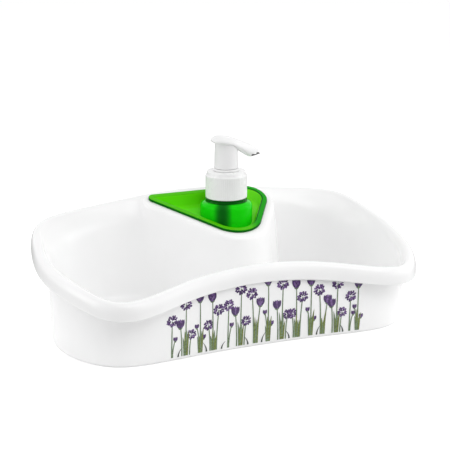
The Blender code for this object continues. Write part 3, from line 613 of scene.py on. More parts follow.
def nearest_place(ring, point):
    a = ring[:, :2]
    d = np.roll(a, -1, axis=0) - a
    share = np.clip(((point[:2] - a) * d).sum(1) / (d * d).sum(1), 0, 1)
    gaps = np.linalg.norm(a + d * share[:, None] - point[:2], axis=1)
    best = int(gaps.argmin())
    return best + share[best]


# Tray cage
def meeting_places(basin, hump):
    """Where the basin's ring runs into the hump's, at the right and at the left of the pump."""
    places = np.linspace(*HUMP_SEARCH)
    flags = inside(hump, basin(places))
    first = int(np.argmax(flags))
    last = len(flags) - 1 - int(np.argmax(flags[::-1]))
    right = (places[first - 1] + places[first]) / 2
    left = (places[last] + places[last + 1]) / 2
    corners = basin(np.array((right, left)))
    return right, left, nearest_place(hump, corners[0]), nearest_place(hump, corners[1])


def even_places(ring, start, end, count):
    """Places at even steps along the ring, both ends included."""
    places = np.linspace(start, end, LINE_STEPS)
    run = run_along(along(ring, places)[:, :2])
    return np.interp(np.linspace(0, run[-1], count + 2), run, places)


def hump_places(ring, right, left, count):
    """Even places along the hump's front, from its right end to its left."""
    return even_places(ring, right + len(ring) if right < left else right, left, count)


def basin_shares(count):
    t = np.linspace(0, 1, count + 1)
    return t - BASIN_CROWDING * np.sin(2 * math.pi * t) / (2 * math.pi)


class TrayCage:
    """Control cage of the one-piece tray: outer wall, rolled rim, basin, hump and well."""

    def __init__(self, settings):
        self.verts = []
        self.faces = []
        self.creased = {}
        self.basin_count = settings.columns
        self.hump_count = settings.hump_columns

    def add(self, points):
        first = len(self.verts)
        self.verts.extend(points)
        return list(range(first, first + len(points)))

    def strip(self, lower, upper, closed=True):
        size = len(lower)
        for index in range(size if closed else size - 1):
            after = (index + 1) % size
            quad = [lower[index], lower[after], upper[after], upper[index]]
            if len(set(quad)) > 2:
                self.faces.append([v for n, v in enumerate(quad) if v not in quad[:n]])

    def crease(self, row, weight):
        for index, vertex in enumerate(row):
            self.creased[frozenset((vertex, row[(index + 1) % len(row)]))] = weight


def basin_levels():
    """Each level of the basin as its ring by place and the hump's ring, from the rim down."""
    fillet_top = FLOOR_TOP + BASIN_FILLET
    hump_top = sloped_ring(RIDGE_WIDTH, SEAT_DROP + RIDGE_ROUND)
    hump_foot = level_ring(HUMP_SIDE, fillet_top)

    def on_the_wall(share, depth):
        def ring(u):
            top = under_rim(u, WALL_DRAFT - WALL, ROLL_DROP)
            return top + (at_foot(u, -WALL, fillet_top) - top) * share
        return ring, hump_top + (hump_foot - hump_top) * depth

    def on_the_floor(run, height):
        return lambda u: at_foot(u, -WALL - run, height), level_ring(HUMP_SIDE + run, height)

    levels = [(lambda u: at_rim(u, -ROLL_INSIDE, ROLL_INSIDE), hump_top)]
    levels += [on_the_wall(share, depth) for share, depth in WALL_LEVELS]
    levels += [on_the_floor(BASIN_FILLET * (1 - math.cos(turn)),
                            FLOOR_TOP + BASIN_FILLET * (1 - math.sin(turn)))
               for turn in FILLET_TURNS]
    levels.append(on_the_floor(BASIN_FILLET * FLOOR_BAND, FLOOR_TOP))
    return levels


def sweep_corner(wall, front, reach):
    """Bend the corner where the left wall runs into the hump to a wide curve, in place."""
    corner = wall[0].copy()
    sides = []
    for line in (wall, front[::-1]):
        run = run_along(line)
        end = np.array([np.interp(reach, run, line[:, axis]) for axis in range(3)])
        sides.append((line, run, end))
    for (line, run, end), (_, _, other) in zip(sides, sides[::-1]):
        for step in range(int(np.searchsorted(run, reach))):
            t = (1 - run[step] / reach) / 2
            line[step] = (1 - t) ** 2 * end + 2 * t * (1 - t) * corner + t ** 2 * other


def tray_cage(settings):
    cage = TrayCage(settings)
    shares = basin_shares(cage.basin_count)
    rows = []
    tops = None
    for (basin, hump), reach in zip(basin_levels(), SWEEP):
        right, left, hump_right, hump_left = meeting_places(basin, hump)
        places = left + (right + KNOTS - left) * shares
        wall = basin(places)
        front = along(hump, hump_places(hump, hump_right, hump_left, cage.hump_count))
        wall[0, 2] = (wall[0, 2] + front[-1, 2]) / 2
        wall[-1, 2] = (wall[-1, 2] + front[0, 2]) / 2
        sweep_corner(wall, front, reach)
        rows.append(cage.add(list(wall) + list(front[1:-1])))
        if tops is None:
            tops = (places, right, left, hump_right, hump_left)
    for upper, lower in zip(rows, rows[1:]):
        cage.strip(upper, lower)
    add_ridge_and_shell(cage, rows[0], tops)
    return cage


def add_ridge_and_shell(cage, top_row, tops):
    basin_places, right, left, hump_right, hump_left = tops
    basin_size = cage.basin_count + 1
    hump_row = [top_row[basin_size - 1]] + top_row[basin_size:] + [top_row[0]]
    half = RIDGE_ROUND * (1 - SIN_45)
    well_ring = sloped_ring(-WELL_INSET, SEAT_DROP)
    places = hump_places(sloped_ring(RIDGE_WIDTH, 0.0), hump_right, hump_left, cage.hump_count)
    ridge_rows = []
    below = hump_row
    for ring in (sloped_ring(RIDGE_WIDTH - half, SEAT_DROP + half),
                 sloped_ring(RIDGE_WIDTH - RIDGE_ROUND, SEAT_DROP), well_ring):
        row = cage.add(along(ring, places))
        cage.strip(below, row, closed=False)
        ridge_rows.append(row)
        below = row
    # The well's back edge, from the ridge's right end round to its left end
    size = len(well_ring)
    back_places = even_places(well_ring, places[0] % size, places[-1] % size, BACK_COLUMNS)
    back_row = cage.add(along(well_ring, back_places[1:-1]))
    below = ridge_rows[-1] + back_row[::-1]
    cage.crease(below, LEDGE_CREASE)
    all_places = np.concatenate((places, back_places[-2:0:-1]))
    for ring in (sloped_ring(-WELL_INSET - WELL_EDGE, SEAT_DROP + WELL_EDGE_DROP),
                 level_ring(-WELL_INSET - WELL_TAPER * WELL_CORNER_SHARE, FLOOR_TOP + WELL_CORNER),
                 level_ring(-WELL_INSET - WELL_TAPER, FLOOR_TOP)):
        row = cage.add(along(ring, all_places))
        cage.strip(below, row)
        below = row
    inner = ([row[0] for row in ridge_rows] + back_row
             + [row[-1] for row in ridge_rows[::-1]])
    points = np.array([cage.verts[v] for v in inner])
    x_right = cage.verts[hump_row[0]][0]
    x_left = cage.verts[hump_row[-1]][0]
    shares = np.clip((x_right - points[:, 0]) / (x_right - x_left), *LAND_ENDS)
    steps = np.linspace(0, 1, len(inner) + 2)[1:-1]
    spread = np.maximum.accumulate(shares) * LAND_SHARE + steps * (1 - LAND_SHARE)
    shell_places = np.concatenate((basin_places, right + (left - right) * spread))
    shell(cage, shell_places, top_row[:basin_size] + inner, points)


def shell(cage, u, inner_row, land):
    """The outer wall from the foot ring up and the rolled rim, down to the basin and the hump."""
    foot_inside = -FOOT_EDGE - FOOT_BAND
    rings = [at_foot(u, out, height) for out, height in (
        (foot_inside - FOOT_RISE, FOOT_RISE), (foot_inside, 0.0), (-FOOT_EDGE, 0.0),
        (-FOOT_EDGE * BEVEL, FOOT_EDGE * BEVEL))]
    foot_top = at_foot(u, 0.0, FOOT_EDGE)
    wall_top = under_rim(u, WALL_DRAFT, ROLL_DROP)
    rings += [foot_top + (wall_top - foot_top) * share for share in SHELL_SHARES]
    rings.append(wall_top)
    reach = ROLL_OUTSIDE - WALL
    wall_place = WALL - ROLL_INSIDE
    roll = [(wall_place, ROLL_INSIDE + WALL), (wall_place / 2, WALL * ROLL_HOLLOW[0]),
            (reach / 2, WALL * ROLL_HOLLOW[1])]
    roll += [(reach * out, ROLL_DROP * drop) for out, drop in ROLL_SKIN]
    roll.append((ROLL_OUTSIDE - WALL * ROLL_SLANT, ROLL_DROP))
    roll += [(ROLL_OUTSIDE * out, ROLL_DROP * drop) for out, drop in ROLL_OUTER]
    rings += [at_rim(u, out, drop) for out, drop in roll]
    near = at_rim(u, -ROLL_INSIDE * SIN_45, ROLL_INSIDE * (1 - SIN_45))
    back = len(land)
    near[-back:, 2] = (near[-back:, 2] + np.maximum(land[:, 2], near[-back:, 2])) / 2
    rings.append(near)
    rows = [cage.add(ring) for ring in rings]
    for lower, upper in zip(rows, rows[1:]):
        cage.strip(lower, upper)
    cage.strip(rows[-1], inner_row)
    for row in rows[1:3]:
        cage.crease(row, FOOT_CREASE)


def underside_groove():
    """The room between the well and the hump's front walls, open to the underside."""
    size = len(cover_outline(0.0))
    nose = slice(size - SIDE_POINTS - ARC_POINTS - SIDE_POINTS, size)
    well = WALL - WELL_INSET
    rings = []
    for make_ring, out, inner, height in (
            (sloped_ring, RIDGE_WIDTH - WALL, well, SEAT_DROP + WALL * GROOVE_DROP),
            (level_ring, HUMP_SIDE - WALL, well - WELL_TAPER, FLOOR_TOP + BASIN_FILLET),
            (level_ring, HUMP_SIDE - WALL, well - WELL_TAPER, -WALL)):
        rings.append(np.vstack((make_ring(out, height)[nose],
                                make_ring(inner, height)[nose][::-1])))
    return loft("groove_tool", rings)


def groove_room():
    places = np.linspace(0, KNOTS, ROOM_POINTS, endpoint=False)
    inset = FOOT_EDGE + FOOT_BAND + FOOT_RISE + WALL
    return loft("groove_room_tool",
                [at_foot(places, -inset, -FLOOR * 2), under_rim(places, -inset, 0.0)])


# Materials
def feed(tree, node, inputs):
    """Link each input that is given a socket and set each that is given a plain value."""
    for key, value in inputs.items():
        if isinstance(value, bpy.types.NodeSocket):
            tree.links.new(value, node.inputs[key])
        else:
            node.inputs[key].default_value = value


def add_node(tree, kind, inputs=None, **options):
    node = tree.nodes.new(kind)
    for option, value in options.items():
        setattr(node, option, value)
    feed(tree, node, inputs or {})
    return node


def calculate(tree, operation, *values):
    """A maths node fed by sockets or plain numbers; returns its result."""
    inputs = dict(enumerate(values))
    return add_node(tree, "ShaderNodeMath", inputs, operation=operation).outputs["Value"]


def measure(tree, operation, *vectors):
    """A vector maths node that gives a number."""
    inputs = dict(enumerate(vectors))
    return add_node(tree, "ShaderNodeVectorMath", inputs, operation=operation).outputs["Value"]


def fade(tree, value, run, start=0.0, end=1.0):
    """A smooth change from the start to the end while the value goes along its run."""
    inputs = {"Value": value, "From Min": run[0], "From Max": run[1],
              "To Min": start, "To Max": end}
    node = add_node(tree, "ShaderNodeMapRange", inputs, interpolation_type="SMOOTHSTEP")
    return node.outputs["Result"]


def noise(tree, place, scale, detail=2.0):
    inputs = {"Vector": place, "Scale": scale, "Detail": detail}
    return add_node(tree, "ShaderNodeTexNoise", inputs).outputs["Fac"]


def new_material(name):
    made = bpy.data.materials.new(name)
    made.use_nodes = True
    return made, made.node_tree


def material(name, colour, roughness, drift=0.015, drift_scale=22.0, ripple=0.06,
             ripple_scale=420.0, sockets=None):
    """A moulded plastic: faint colour drift, uneven polish and a very fine surface ripple."""
    made, tree = new_material(name)
    place = add_node(tree, "ShaderNodeTexCoord").outputs["Object"]
    ramp = add_node(tree, "ShaderNodeValToRGB", {
        "Fac": noise(tree, place, drift_scale, DRIFT_DETAIL)})
    factors = (1 - drift, 1 + drift)
    for stop, position, factor in zip(ramp.color_ramp.elements, DRIFT_STOPS, factors):
        stop.position = position
        stop.color = (*[min(1.0, channel * factor) for channel in colour], 1.0)
    polish = add_node(tree, "ShaderNodeMapRange", {
        "Value": noise(tree, place, POLISH_SCALE, POLISH_DETAIL),
        "To Min": roughness * POLISH_SPREAD[0], "To Max": roughness * POLISH_SPREAD[1]})
    bump = add_node(tree, "ShaderNodeBump", {
        "Height": noise(tree, place, ripple_scale), "Strength": ripple, "Distance": RIPPLE_DEPTH})
    feed(tree, tree.nodes["Principled BSDF"], {
        "Base Color": ramp.outputs["Color"], "Roughness": polish.outputs["Result"],
        "Normal": bump.outputs["Normal"], **(sockets or {})})
    made.diffuse_color = (*colour, 1.0)
    return made


def green_plastic(name, colour, clearness):
    """Clear stained plastic: part of the light goes through, and its gloss is tinted."""
    return material(name, colour, roughness=0.05, drift=0.05, ripple=0.03, sockets={
        "Transmission Weight": clearness, "IOR": 1.25, "Specular IOR Level": 0.2,
        "Specular Tint": (0.25, 1.0, 0.2, 1.0)})


def assign(piece, *made):
    piece.data.materials.clear()
    for one in made:
        piece.data.materials.append(one)


def dress(node, made):
    """Give a carried-over CAD node a new material."""
    for slot in bpy.data.objects[node].material_slots:
        slot.material = made


def object_place(tree):
    place = add_node(tree, "ShaderNodeTexCoord").outputs["Object"]
    return add_node(tree, "ShaderNodeSeparateXYZ", {"Vector": place}).outputs


def stain_over(made, share, run, colour):
    """Mix a colour over the material's own while the share goes along its run."""
    tree = made.node_tree
    base_input = tree.nodes["Principled BSDF"].inputs["Base Color"]
    mix = add_node(tree, "ShaderNodeMixRGB", {
        "Fac": fade(tree, share, run), "Color1": base_input.links[0].from_socket,
        "Color2": (*colour, 1.0)})
    tree.links.new(mix.outputs["Color"], base_input)


def stain_right(made, run, colour):
    """Another colour toward the right."""
    stain_over(made, object_place(made.node_tree)["X"], run, colour)


def paint_boss_shade_bands(made, colour):
    """Painted shade: three darker bands round the boss, one of them turned toward the camera."""
    tree = made.node_tree
    place = object_place(tree)
    turn = calculate(tree, "ARCTAN2", calculate(tree, "SUBTRACT", place["Y"], PUMP_Y),
                     calculate(tree, "SUBTRACT", place["X"], PUMP_X))
    wave = calculate(tree, "COSINE",
                     calculate(tree, "MULTIPLY_ADD", turn, BANDS, -BANDS * BAND_TURN))
    stain_over(made, wave, BAND_RUN, colour)


# Pieces
def close_flats(target):
    """Close the flat floors that the cage leaves open."""
    bm = bmesh.new()
    bm.from_mesh(target.data)
    rims = [edge for edge in bm.edges if edge.is_boundary]
    flats = bmesh.ops.holes_fill(bm, edges=rims, sides=0)["faces"]
    bmesh.ops.triangulate(bm, faces=flats)
    bmesh.ops.recalc_face_normals(bm, faces=bm.faces)
    bm.to_mesh(target.data)
    bm.free()


def make_tray(settings):
    cage = tray_cage(settings)
    tray = object_from("tray_shell", cage.verts, cage.faces, "tray", ("tray",),
                       cage.creased)
    subdivision = tray.modifiers.new("moulding", "SUBSURF")
    subdivision.levels = subdivision.render_levels = settings.smoothness
    settle(tray)
    close_flats(tray)
    groove = underside_groove()
    room = groove_room()
    combine(groove, room, "INTERSECT")
    settle(groove, room)
    combine(tray, groove, "DIFFERENCE")
    settle(tray, groove)
    sharpen(tray, TRAY_SHARP)
    assign(tray, material("glossy white plastic", settings.colour, roughness=0.2))


def make_tank(settings):
    foot = FLOOR_TOP + TANK_FOOT_GAP
    outer = TANK_SIDE - WELL_TAPER
    inner = outer - TANK_WALL
    bevel = TANK_FLOOR * BEVEL
    rings = [
        level_ring(outer - TANK_FLOOR, foot),
        level_ring(outer - bevel, foot + bevel),
        level_ring(outer, foot + TANK_FLOOR),
        sloped_ring(TANK_SIDE, SEAT_DROP),
        sloped_ring(TANK_SIDE - TANK_WALL, SEAT_DROP),
        level_ring(inner, foot + TANK_FLOOR * 2),
        level_ring(inner - bevel, foot + TANK_FLOOR * (1 + BEVEL)),
        level_ring(inner - TANK_FLOOR, foot + TANK_FLOOR),
    ]
    tank = loft("soap_tank_shell", rings, "tank", ("soap_tank",))
    sharpen(tank, TANK_SHARP)
    assign(tank, green_plastic("clear green tank plastic", settings.colour, TANK_CLEARNESS))


def thread_ridge(name, wall_radius, outward, start):
    """A screw thread that fades out at both ends, standing out from or into the wall."""
    steps = round(THREAD_TURNS * THREAD_POINTS)
    fade_steps = THREAD_POINTS * THREAD_FADE
    rings = []
    for step in range(steps + 1):
        turn = 2 * math.pi * step / THREAD_POINTS
        full = min(1.0, step / fade_steps, (steps - step) / fade_steps)
        reach = wall_radius + outward * (THREAD_DEPTH * full - THREAD_BITE * (1 - full) / 2)
        root = wall_radius - outward * THREAD_BITE
        middle = COLLAR_HEIGHT + start + THREAD_LEAD * step / THREAD_POINTS
        section = ((root, -THREAD_ROOT), (reach, -THREAD_FLAT),
                   (reach + outward * THREAD_CROWN, 0.0), (reach, THREAD_FLAT), (root, THREAD_ROOT))
        rings.append([(PUMP_X + radius * math.cos(turn), PUMP_Y + radius * math.sin(turn),
                       middle + rise) for radius, rise in section])
    return loft(name, rings)


def cover_profile():
    """The cover's sheet as (offset, drop) from its outline and the lip's plane."""
    dish_side = TANK_SIDE - TANK_WALL - SEAT_GAP
    floor_out = -LIP_WIDTH - RECESS_RUN
    profile = [(floor_out - RECESS_FLAT, RECESS_DEPTH), (floor_out, RECESS_DEPTH - RECESS_DIP)]
    profile += [(floor_out + out, RECESS_DEPTH * share) for out, share in RECESS_SIDE]
    profile.append((-LIP_WIDTH - RECESS_TOP[0], LIP_ROUND * RECESS_TOP[1]))
    profile += [(-LIP_WIDTH + LIP_ROUND * place, LIP_ROUND * drop) for place, drop in LIP_INNER]
    profile += [(-LIP_ROUND * place, LIP_ROUND * drop) for place, drop in LIP_OUTER]
    profile += [(0.0, LIP_THICKNESS - LIP_BEVEL), (-LIP_BEVEL, LIP_THICKNESS),
                (dish_side, LIP_THICKNESS), (dish_side, LIP_THICKNESS + COVER_WALL),
                (floor_out + COVER_WALL, RECESS_DEPTH + COVER_WALL)]
    return profile


def make_cover(settings):
    cover = loft("tank_cover_shell", [sloped_ring(*point) for point in cover_profile()],
                 "tank", ("tank_cover",))
    turns = even_turns(COVER_SEGMENTS)
    foot = round_pump(BOSS_RADIUS, turns, 0.0)
    foot[:, 2] = lip_plane(foot[:, 1]) - (RECESS_DEPTH + COVER_WALL / 2)
    shoulder = COLLAR_HEIGHT - SEAT_GAP
    neck_top = COLLAR_HEIGHT + NECK_LENGTH
    profile = []
    for step in range(BOSS_STEPS + 1):
        turn = math.pi / 2 * step / BOSS_STEPS
        profile.append((BOSS_RADIUS - BOSS_ROUND * (1 - math.cos(turn)),
                        BOSS_HEIGHT - BOSS_ROUND * (1 - math.sin(turn))))
    profile += [(SHOULDER_RADIUS + SHOULDER_BEVEL, BOSS_HEIGHT + SHOULDER_BEVEL),
                (SHOULDER_RADIUS, BOSS_HEIGHT + SHOULDER_RISE),
                (SHOULDER_RADIUS, shoulder - SHOULDER_BEVEL),
                (SHOULDER_RADIUS - SHOULDER_BEVEL, shoulder),
                (NECK_RADIUS, shoulder), (NECK_RADIUS, neck_top)]
    boss = loft("boss_tool", [foot] + [round_pump(radius, turns, z) for radius, z in profile])
    inner = BOSS_RADIUS - BOSS_WALL
    top = BOSS_HEIGHT - BOSS_WALL
    bore = turned("bore_tool", (
        (inner, LIP_HEIGHT - BOSS_RADIUS - RECESS_DEPTH), (inner, top - BOSS_ROUND),
        (inner - BOSS_ROUND * BEVEL, top - BOSS_ROUND * BEVEL), (inner - BOSS_ROUND, top),
        (NECK_BORE, top), (NECK_BORE, COLLAR_HEIGHT + NECK_LENGTH * 2)), COVER_SEGMENTS)
    thread = thread_ridge("neck_thread_tool", NECK_RADIUS, 1.0, THREAD_START)
    combine(cover, boss, "UNION")
    combine(cover, bore, "DIFFERENCE")
    combine(cover, thread, "UNION")
    settle(cover, boss, bore, thread)
    sharpen(cover, COVER_SHARP)
    stain_cover(cover, settings)


def stain_cover(cover, settings):
    """Lime in the thin dish, deeper in the boss, darkest along the edges, where the sheet is seen
    along its length, and on the shoulder under the collar, as painted shade.
    """
    soft = settings.clearness * SOFT_CLEARNESS
    lip = [channel * LIP_SHADE for channel in settings.colour]
    stains = (
        green_plastic("lime dish plastic", settings.colour, settings.clearness * DISH_CLEARNESS),
        green_plastic("deep green boss plastic", settings.deep, soft),
        green_plastic("dark green edge plastic", settings.edge, settings.clearness),
        green_plastic("green lip plastic", lip, soft),
        green_plastic("green inner edge plastic", lip, soft))
    stain_right(stains[DISH], PALE_RUN, settings.pale)
    # Painted shade: darker bands round the boss, one of them facing the camera
    paint_boss_shade_bands(stains[BOSS], settings.edge)
    stain_right(stains[LIP], DARK_RUN, [channel * LIP_DARK_SHADE for channel in settings.deep])
    stain_right(stains[INNER_EDGE], DARK_RUN, settings.edge)
    assign(cover, *stains)
    polygons = cover.data.polygons
    centres = np.array([polygon.center[:] for polygon in polygons])
    corners = np.array([vertex.co[:] for vertex in cover.data.vertices])
    spread = np.hypot(corners[:, 0] - PUMP_X, corners[:, 1] - PUMP_Y)
    reaches = np.array([spread[list(polygon.vertices)].max() for polygon in polygons])
    number = np.full(len(centres), INNER_EDGE)
    number[inside(cover_outline(-LIP_WIDTH - LIP_ROUND * 0.5), centres)] = DISH
    number[~inside(cover_outline(-LIP_WIDTH + LIP_ROUND), centres)] = LIP
    number[reaches < BOSS_RADIUS + BOSS_MARGIN] = BOSS
    # The shoulder under the collar takes the dark edge colour: painted shade
    shoulder = (reaches < SHOULDER_RADIUS + SHOULDER_MARGIN) & (centres[:, 2] > BOSS_HEIGHT)
    number[shoulder | ~inside(cover_outline(-LIP_ROUND * 0.5), centres)] = EDGE
    for polygon, stain in zip(polygons, number):
        polygon.material_index = int(stain)


def make_collar(settings):
    wave = np.array(RIB_WAVE * settings.ribs) * settings.rib_depth
    turns = even_turns(len(wave))

    def ring(radius, height, depth=0.0):
        return round_pump(radius - wave * depth, turns, COLLAR_HEIGHT + height)

    def rounded(radius, height, steps, upward):
        return [ring(radius - inward * MM, height + upward * rise * MM) for inward, rise in steps]

    top = COLLAR_RADIUS - COLLAR_STEP
    peak = COLLAR_SIDE + COLLAR_TOP
    rings = [
        ring(COLLAR_BORE, 0.0),
        *rounded(COLLAR_RADIUS, 0.0, COLLAR_FOOT_ROUND, 1.0),
        ring(COLLAR_RADIUS, RIB_FOOT), ring(COLLAR_RADIUS, RIB_FULL, 1.0),
        ring(COLLAR_RADIUS, COLLAR_SIDE - RIB_FULL, 1.0),
        ring(COLLAR_RADIUS, COLLAR_SIDE - RIB_END),
        *rounded(COLLAR_RADIUS, COLLAR_SIDE, COLLAR_SIDE_ROUND, -1.0),
        ring(top + COLLAR_STEP_ROUND[0], COLLAR_SIDE),
        ring(top, COLLAR_SIDE + COLLAR_STEP_ROUND[1]),
        *rounded(top, peak, COLLAR_TOP_ROUND, -1.0),
        ring(COLLAR_HOLE + COLLAR_HOLE_EDGE, peak), ring(COLLAR_HOLE, peak - COLLAR_HOLE_EDGE),
        ring(COLLAR_HOLE, COLLAR_CEILING), ring(COLLAR_BORE, COLLAR_CEILING),
    ]
    collar = loft("collar_cap", rings, "collar", ("collar",), looped=True)
    thread = thread_ridge("collar_thread_tool", COLLAR_BORE, -1.0, THREAD_START - THREAD_LEAD / 2)
    combine(collar, thread, "UNION")
    settle(collar, thread)
    sharpen(collar, COLLAR_SHARP)
    assign(collar, material("ribbed pump collar plastic", settings.colour, roughness=0.26))


def head_section(x, top, under, half_width):
    middle = under + (top - under) * HEAD_MIDDLE
    turns = even_turns(HEAD_POINTS)
    reach = np.where(np.sin(turns) > 0, top - middle, middle - under)
    side = np.copysign(np.abs(np.cos(turns)) ** HEAD_SQUARENESS, np.cos(turns))
    return np.column_stack((np.full(HEAD_POINTS, PUMP_X + x), PUMP_Y + half_width * side,
                            COLLAR_HEIGHT + middle + reach * np.sin(turns)))


def smooth_through(values):
    """A smooth curve through the values at the head's places, with slopes that never overshoot."""
    knots, values, fine = (np.array(line) for line in (HEAD_PLACES, values, HEAD_STATIONS))
    steps = np.diff(knots)
    rises = np.diff(values) / steps
    slopes = np.zeros(len(values))
    slopes[0], slopes[-1] = rises[0], rises[-1]
    for index in range(1, len(values) - 1):
        a, b = rises[index - 1], rises[index]
        if a * b > 0:
            slopes[index] = 2 * a * b / (a + b) * 0.5 + (a + b) / 4
    spans = np.clip(np.searchsorted(knots, fine, side="right") - 1, 0, len(steps) - 1)
    t = (fine - knots[spans]) / steps[spans]
    h = steps[spans]
    return (values[spans] * (1 + 2 * t) * (1 - t) ** 2 + slopes[spans] * h * t * (1 - t) ** 2
            + values[spans + 1] * t ** 2 * (3 - 2 * t) - slopes[spans + 1] * h * t ** 2 * (1 - t))


def on_head(place, height):
    """A point in the head's middle plane, from its shares of the head's length and height."""
    return np.array((PUMP_X - HEAD_TAIL + HEAD_SPAN * place, COLLAR_HEIGHT + HEAD_HEIGHT * height))


def nozzle_tube():
    """The soap's way through the head, opening into a wider oval mouth at the end."""
    rings = []
    turns = even_turns(NOZZLE_POINTS)
    for place, height, wide in NOZZLE_STATIONS:
        x, z = on_head(place, height)
        rings.append(np.column_stack((np.full(NOZZLE_POINTS, x),
                                      PUMP_Y + NOZZLE_BORE * wide * np.cos(turns),
                                      z + NOZZLE_BORE * np.sin(turns))))
    return loft("nozzle_tool", rings)


def across_head(name, section):
    """A tool of constant section across the whole width of the head."""
    return loft(name, [[(x, PUMP_Y + side, z) for x, z in section]
                       for side in (-HEAD_HALF_WIDTH, HEAD_HALF_WIDTH)])


def end_cuts():
    """The wedge under the sloping face that ends the nozzle, and the mouth's slot above it."""
    start, end = [on_head(place, height) for place, height in zip(CUT_PLACES, CUT_HEIGHTS)]
    below, beyond = start * 2 - end, end * 2 - start
    wedge = across_head("end_tool", (below, beyond, (beyond[0], COLLAR_HEIGHT),
                                     (below[0], COLLAR_HEIGHT)))
    foot, top = [np.array((0.0, lift)) for lift in (SLOT_LIP, SLOT_LIP + SLOT_HEIGHT)]
    inner = start + (end - start) * SLOT_START
    slot = across_head("slot_tool", (inner + foot, beyond + foot, beyond + top, inner + top))
    return wedge, slot


def make_head(settings):
    tops, unders, widths = (smooth_through(v) for v in (HEAD_TOPS, HEAD_UNDERS, HEAD_WIDTHS))
    rings = [head_section(-HEAD_TAIL + HEAD_SPAN * place, HEAD_HEIGHT * top, HEAD_HEIGHT * under,
                          HEAD_HALF_WIDTH * width)
             for place, top, under, width in zip(HEAD_STATIONS, tops, unders, widths)]
    head = loft("pump_head_shell", rings, "head", ("pump_head",))
    foot = COLLAR_SIDE + COLLAR_TOP + SEAT_GAP + LOCK_LIP + SEAT_GAP
    skirt = turned("skirt_tool", (
        (HEAD_FOOT_RADIUS - HEAD_FOOT_BEVEL, foot), (HEAD_FOOT_RADIUS, foot + HEAD_FOOT_BEVEL),
        (HEAD_NECK_RADIUS, foot + STROKE), (HEAD_NECK_RADIUS, SKIRT_TOP)),
        settings.segments, COLLAR_HEIGHT)
    ceiling = HEAD_HEIGHT * HEAD_UNDERS[3] - HEAD_WALL
    bore = STEM_RADIUS + SEAT_GAP
    hollow = turned("hollow_tool", (
        (HEAD_FOOT_RADIUS - HEAD_WALL, foot - HEAD_WALL), (HEAD_NECK_RADIUS - HEAD_WALL, ceiling),
        (HEAD_STEM_SOCKET, ceiling), (HEAD_STEM_SOCKET, HEAD_SOCKET_FOOT), (bore, HEAD_SOCKET_FOOT),
        (bore, STEM_TOP + SEAT_GAP), (NOZZLE_BORE, STEM_TOP + SEAT_GAP),
        (NOZZLE_BORE, HEAD_HEIGHT * HOLLOW_TOP)), settings.segments, COLLAR_HEIGHT)
    tube = nozzle_tube()
    wedge, slot = end_cuts()
    combine(head, wedge, "DIFFERENCE")
    combine(head, skirt, "UNION")
    for tool in (hollow, tube, slot):
        combine(head, tool, "DIFFERENCE")
    # Painted shade: the faces cut by the slot and the nozzle's bore take a dark grey, so the mouth
    # reads dark
    assign(head, material("pump head plastic", settings.colour, roughness=0.24),
           material("shaded nozzle mouth plastic", (0.2, 0.2, 0.19), roughness=0.5))
    for polygon in [*slot.data.polygons, *tube.data.polygons]:
        polygon.material_index = 1
    settle(head, wedge, skirt, hollow, tube, slot)
    sharpen(head, HEAD_SHARP)


def make_mechanism(settings):
    guide = material("pump guide plastic", settings.colour, roughness=0.3)
    for node in ("lock_ring", "pump_stem"):
        dress(node, guide)
    for title, colour, roughness, options, nodes in MECHANISM:
        made = material(title, colour, roughness, **options)
        for node in nodes:
            dress(node, made)


# Printed meadow, in millimetres along and up the front wall
# Each bunch as its plants: place in the bunch, share of the printed height, lean and kind
BUNCHES = {
    "lone": ((0.0, 0.74, 0.3, "allium"), (0.6, 0.40, 2.2, "bud")),
    "reed": ((0.0, 0.97, -0.4, "tulip"), (-0.5, 0.52, -2.4, "bud"), (0.5, 0.33, 2.2, "bud")),
    "pair": ((-1.5, 0.84, -1.9, "allium"), (1.5, 0.66, 1.9, "tulip")),
    "trio": ((-3.0, 0.60, -1.4, "tulip"), (0.0, 0.95, 0.2, "allium"), (3.0, 0.43, 1.3, "allium")),
    "sheaf": ((-2.6, 0.47, -1.6, "allium"), (-0.4, 0.90, -0.8, "tulip"),
              (2.4, 0.72, 1.5, "allium")),
}
# Bunches along the front wall, by their distance from the middle
MEADOW = (
    (-71.0, "lone"), (-60.0, "trio"), (-48.5, "reed"), (-38.0, "sheaf"), (-26.5, "lone"),
    (-16.5, "trio"), (-4.5, "pair"), (5.5, "reed"), (16.5, "trio"), (28.5, "sheaf"),
    (39.5, "reed"), (49.0, "pair"), (60.0, "trio"), (70.5, "lone"), (77.0, "reed"),
)
# Grass blades: distance from the middle, height and lean
BLADES = ((-66.0, 9, 3), (-43.5, 10, -3), (-31.5, 8, 3), (-10.5, 9, -3), (0.5, 10, 3),
          (22.5, 9, -3), (44.5, 10, 3), (65.5, 9, -3))
VIOLET, LIGHT_VIOLET, GREEN, OLIVE, DARK = range(5)
# Each petal: how far its foot lies under the top, lean, length, width, ink and fineness
FLOWERS = {
    "bud": ((1.8, 0.35, 4.0, 2.0, VIOLET, 6), (1.8, -0.35, 4.0, 2.0, VIOLET, 6),
            (1.4, 0.0, 3.4, 1.0, LIGHT_VIOLET, 5), (2.4, 0.0, 1.6, 1.5, GREEN, 5)),
    "tulip": ((3.0, -0.40, 7.6, 3.2, VIOLET, 7), (3.0, 0.40, 7.6, 3.2, VIOLET, 7),
              (3.0, 0.0, 7.6, 3.4, LIGHT_VIOLET, 7), (3.0, -0.20, 7.6, 2.2, VIOLET, 7),
              (3.0, 0.22, 7.6, 1.6, VIOLET, 7), (3.4, -0.8, 2.6, 1.0, GREEN, 5),
              (3.4, 0.8, 2.6, 1.0, GREEN, 5)),
}
PETAL_FULLNESS = 0.8
FLORETS = 30
FLORET_TURN = 2.4
FLORET_REACH = 0.72
FLORET_SIZE = (0.42, 0.34)
FLORET_SIDES = 5
LIGHT_FLORETS = 0.28
ALLIUM_SIZE = (3.3, 1.4)
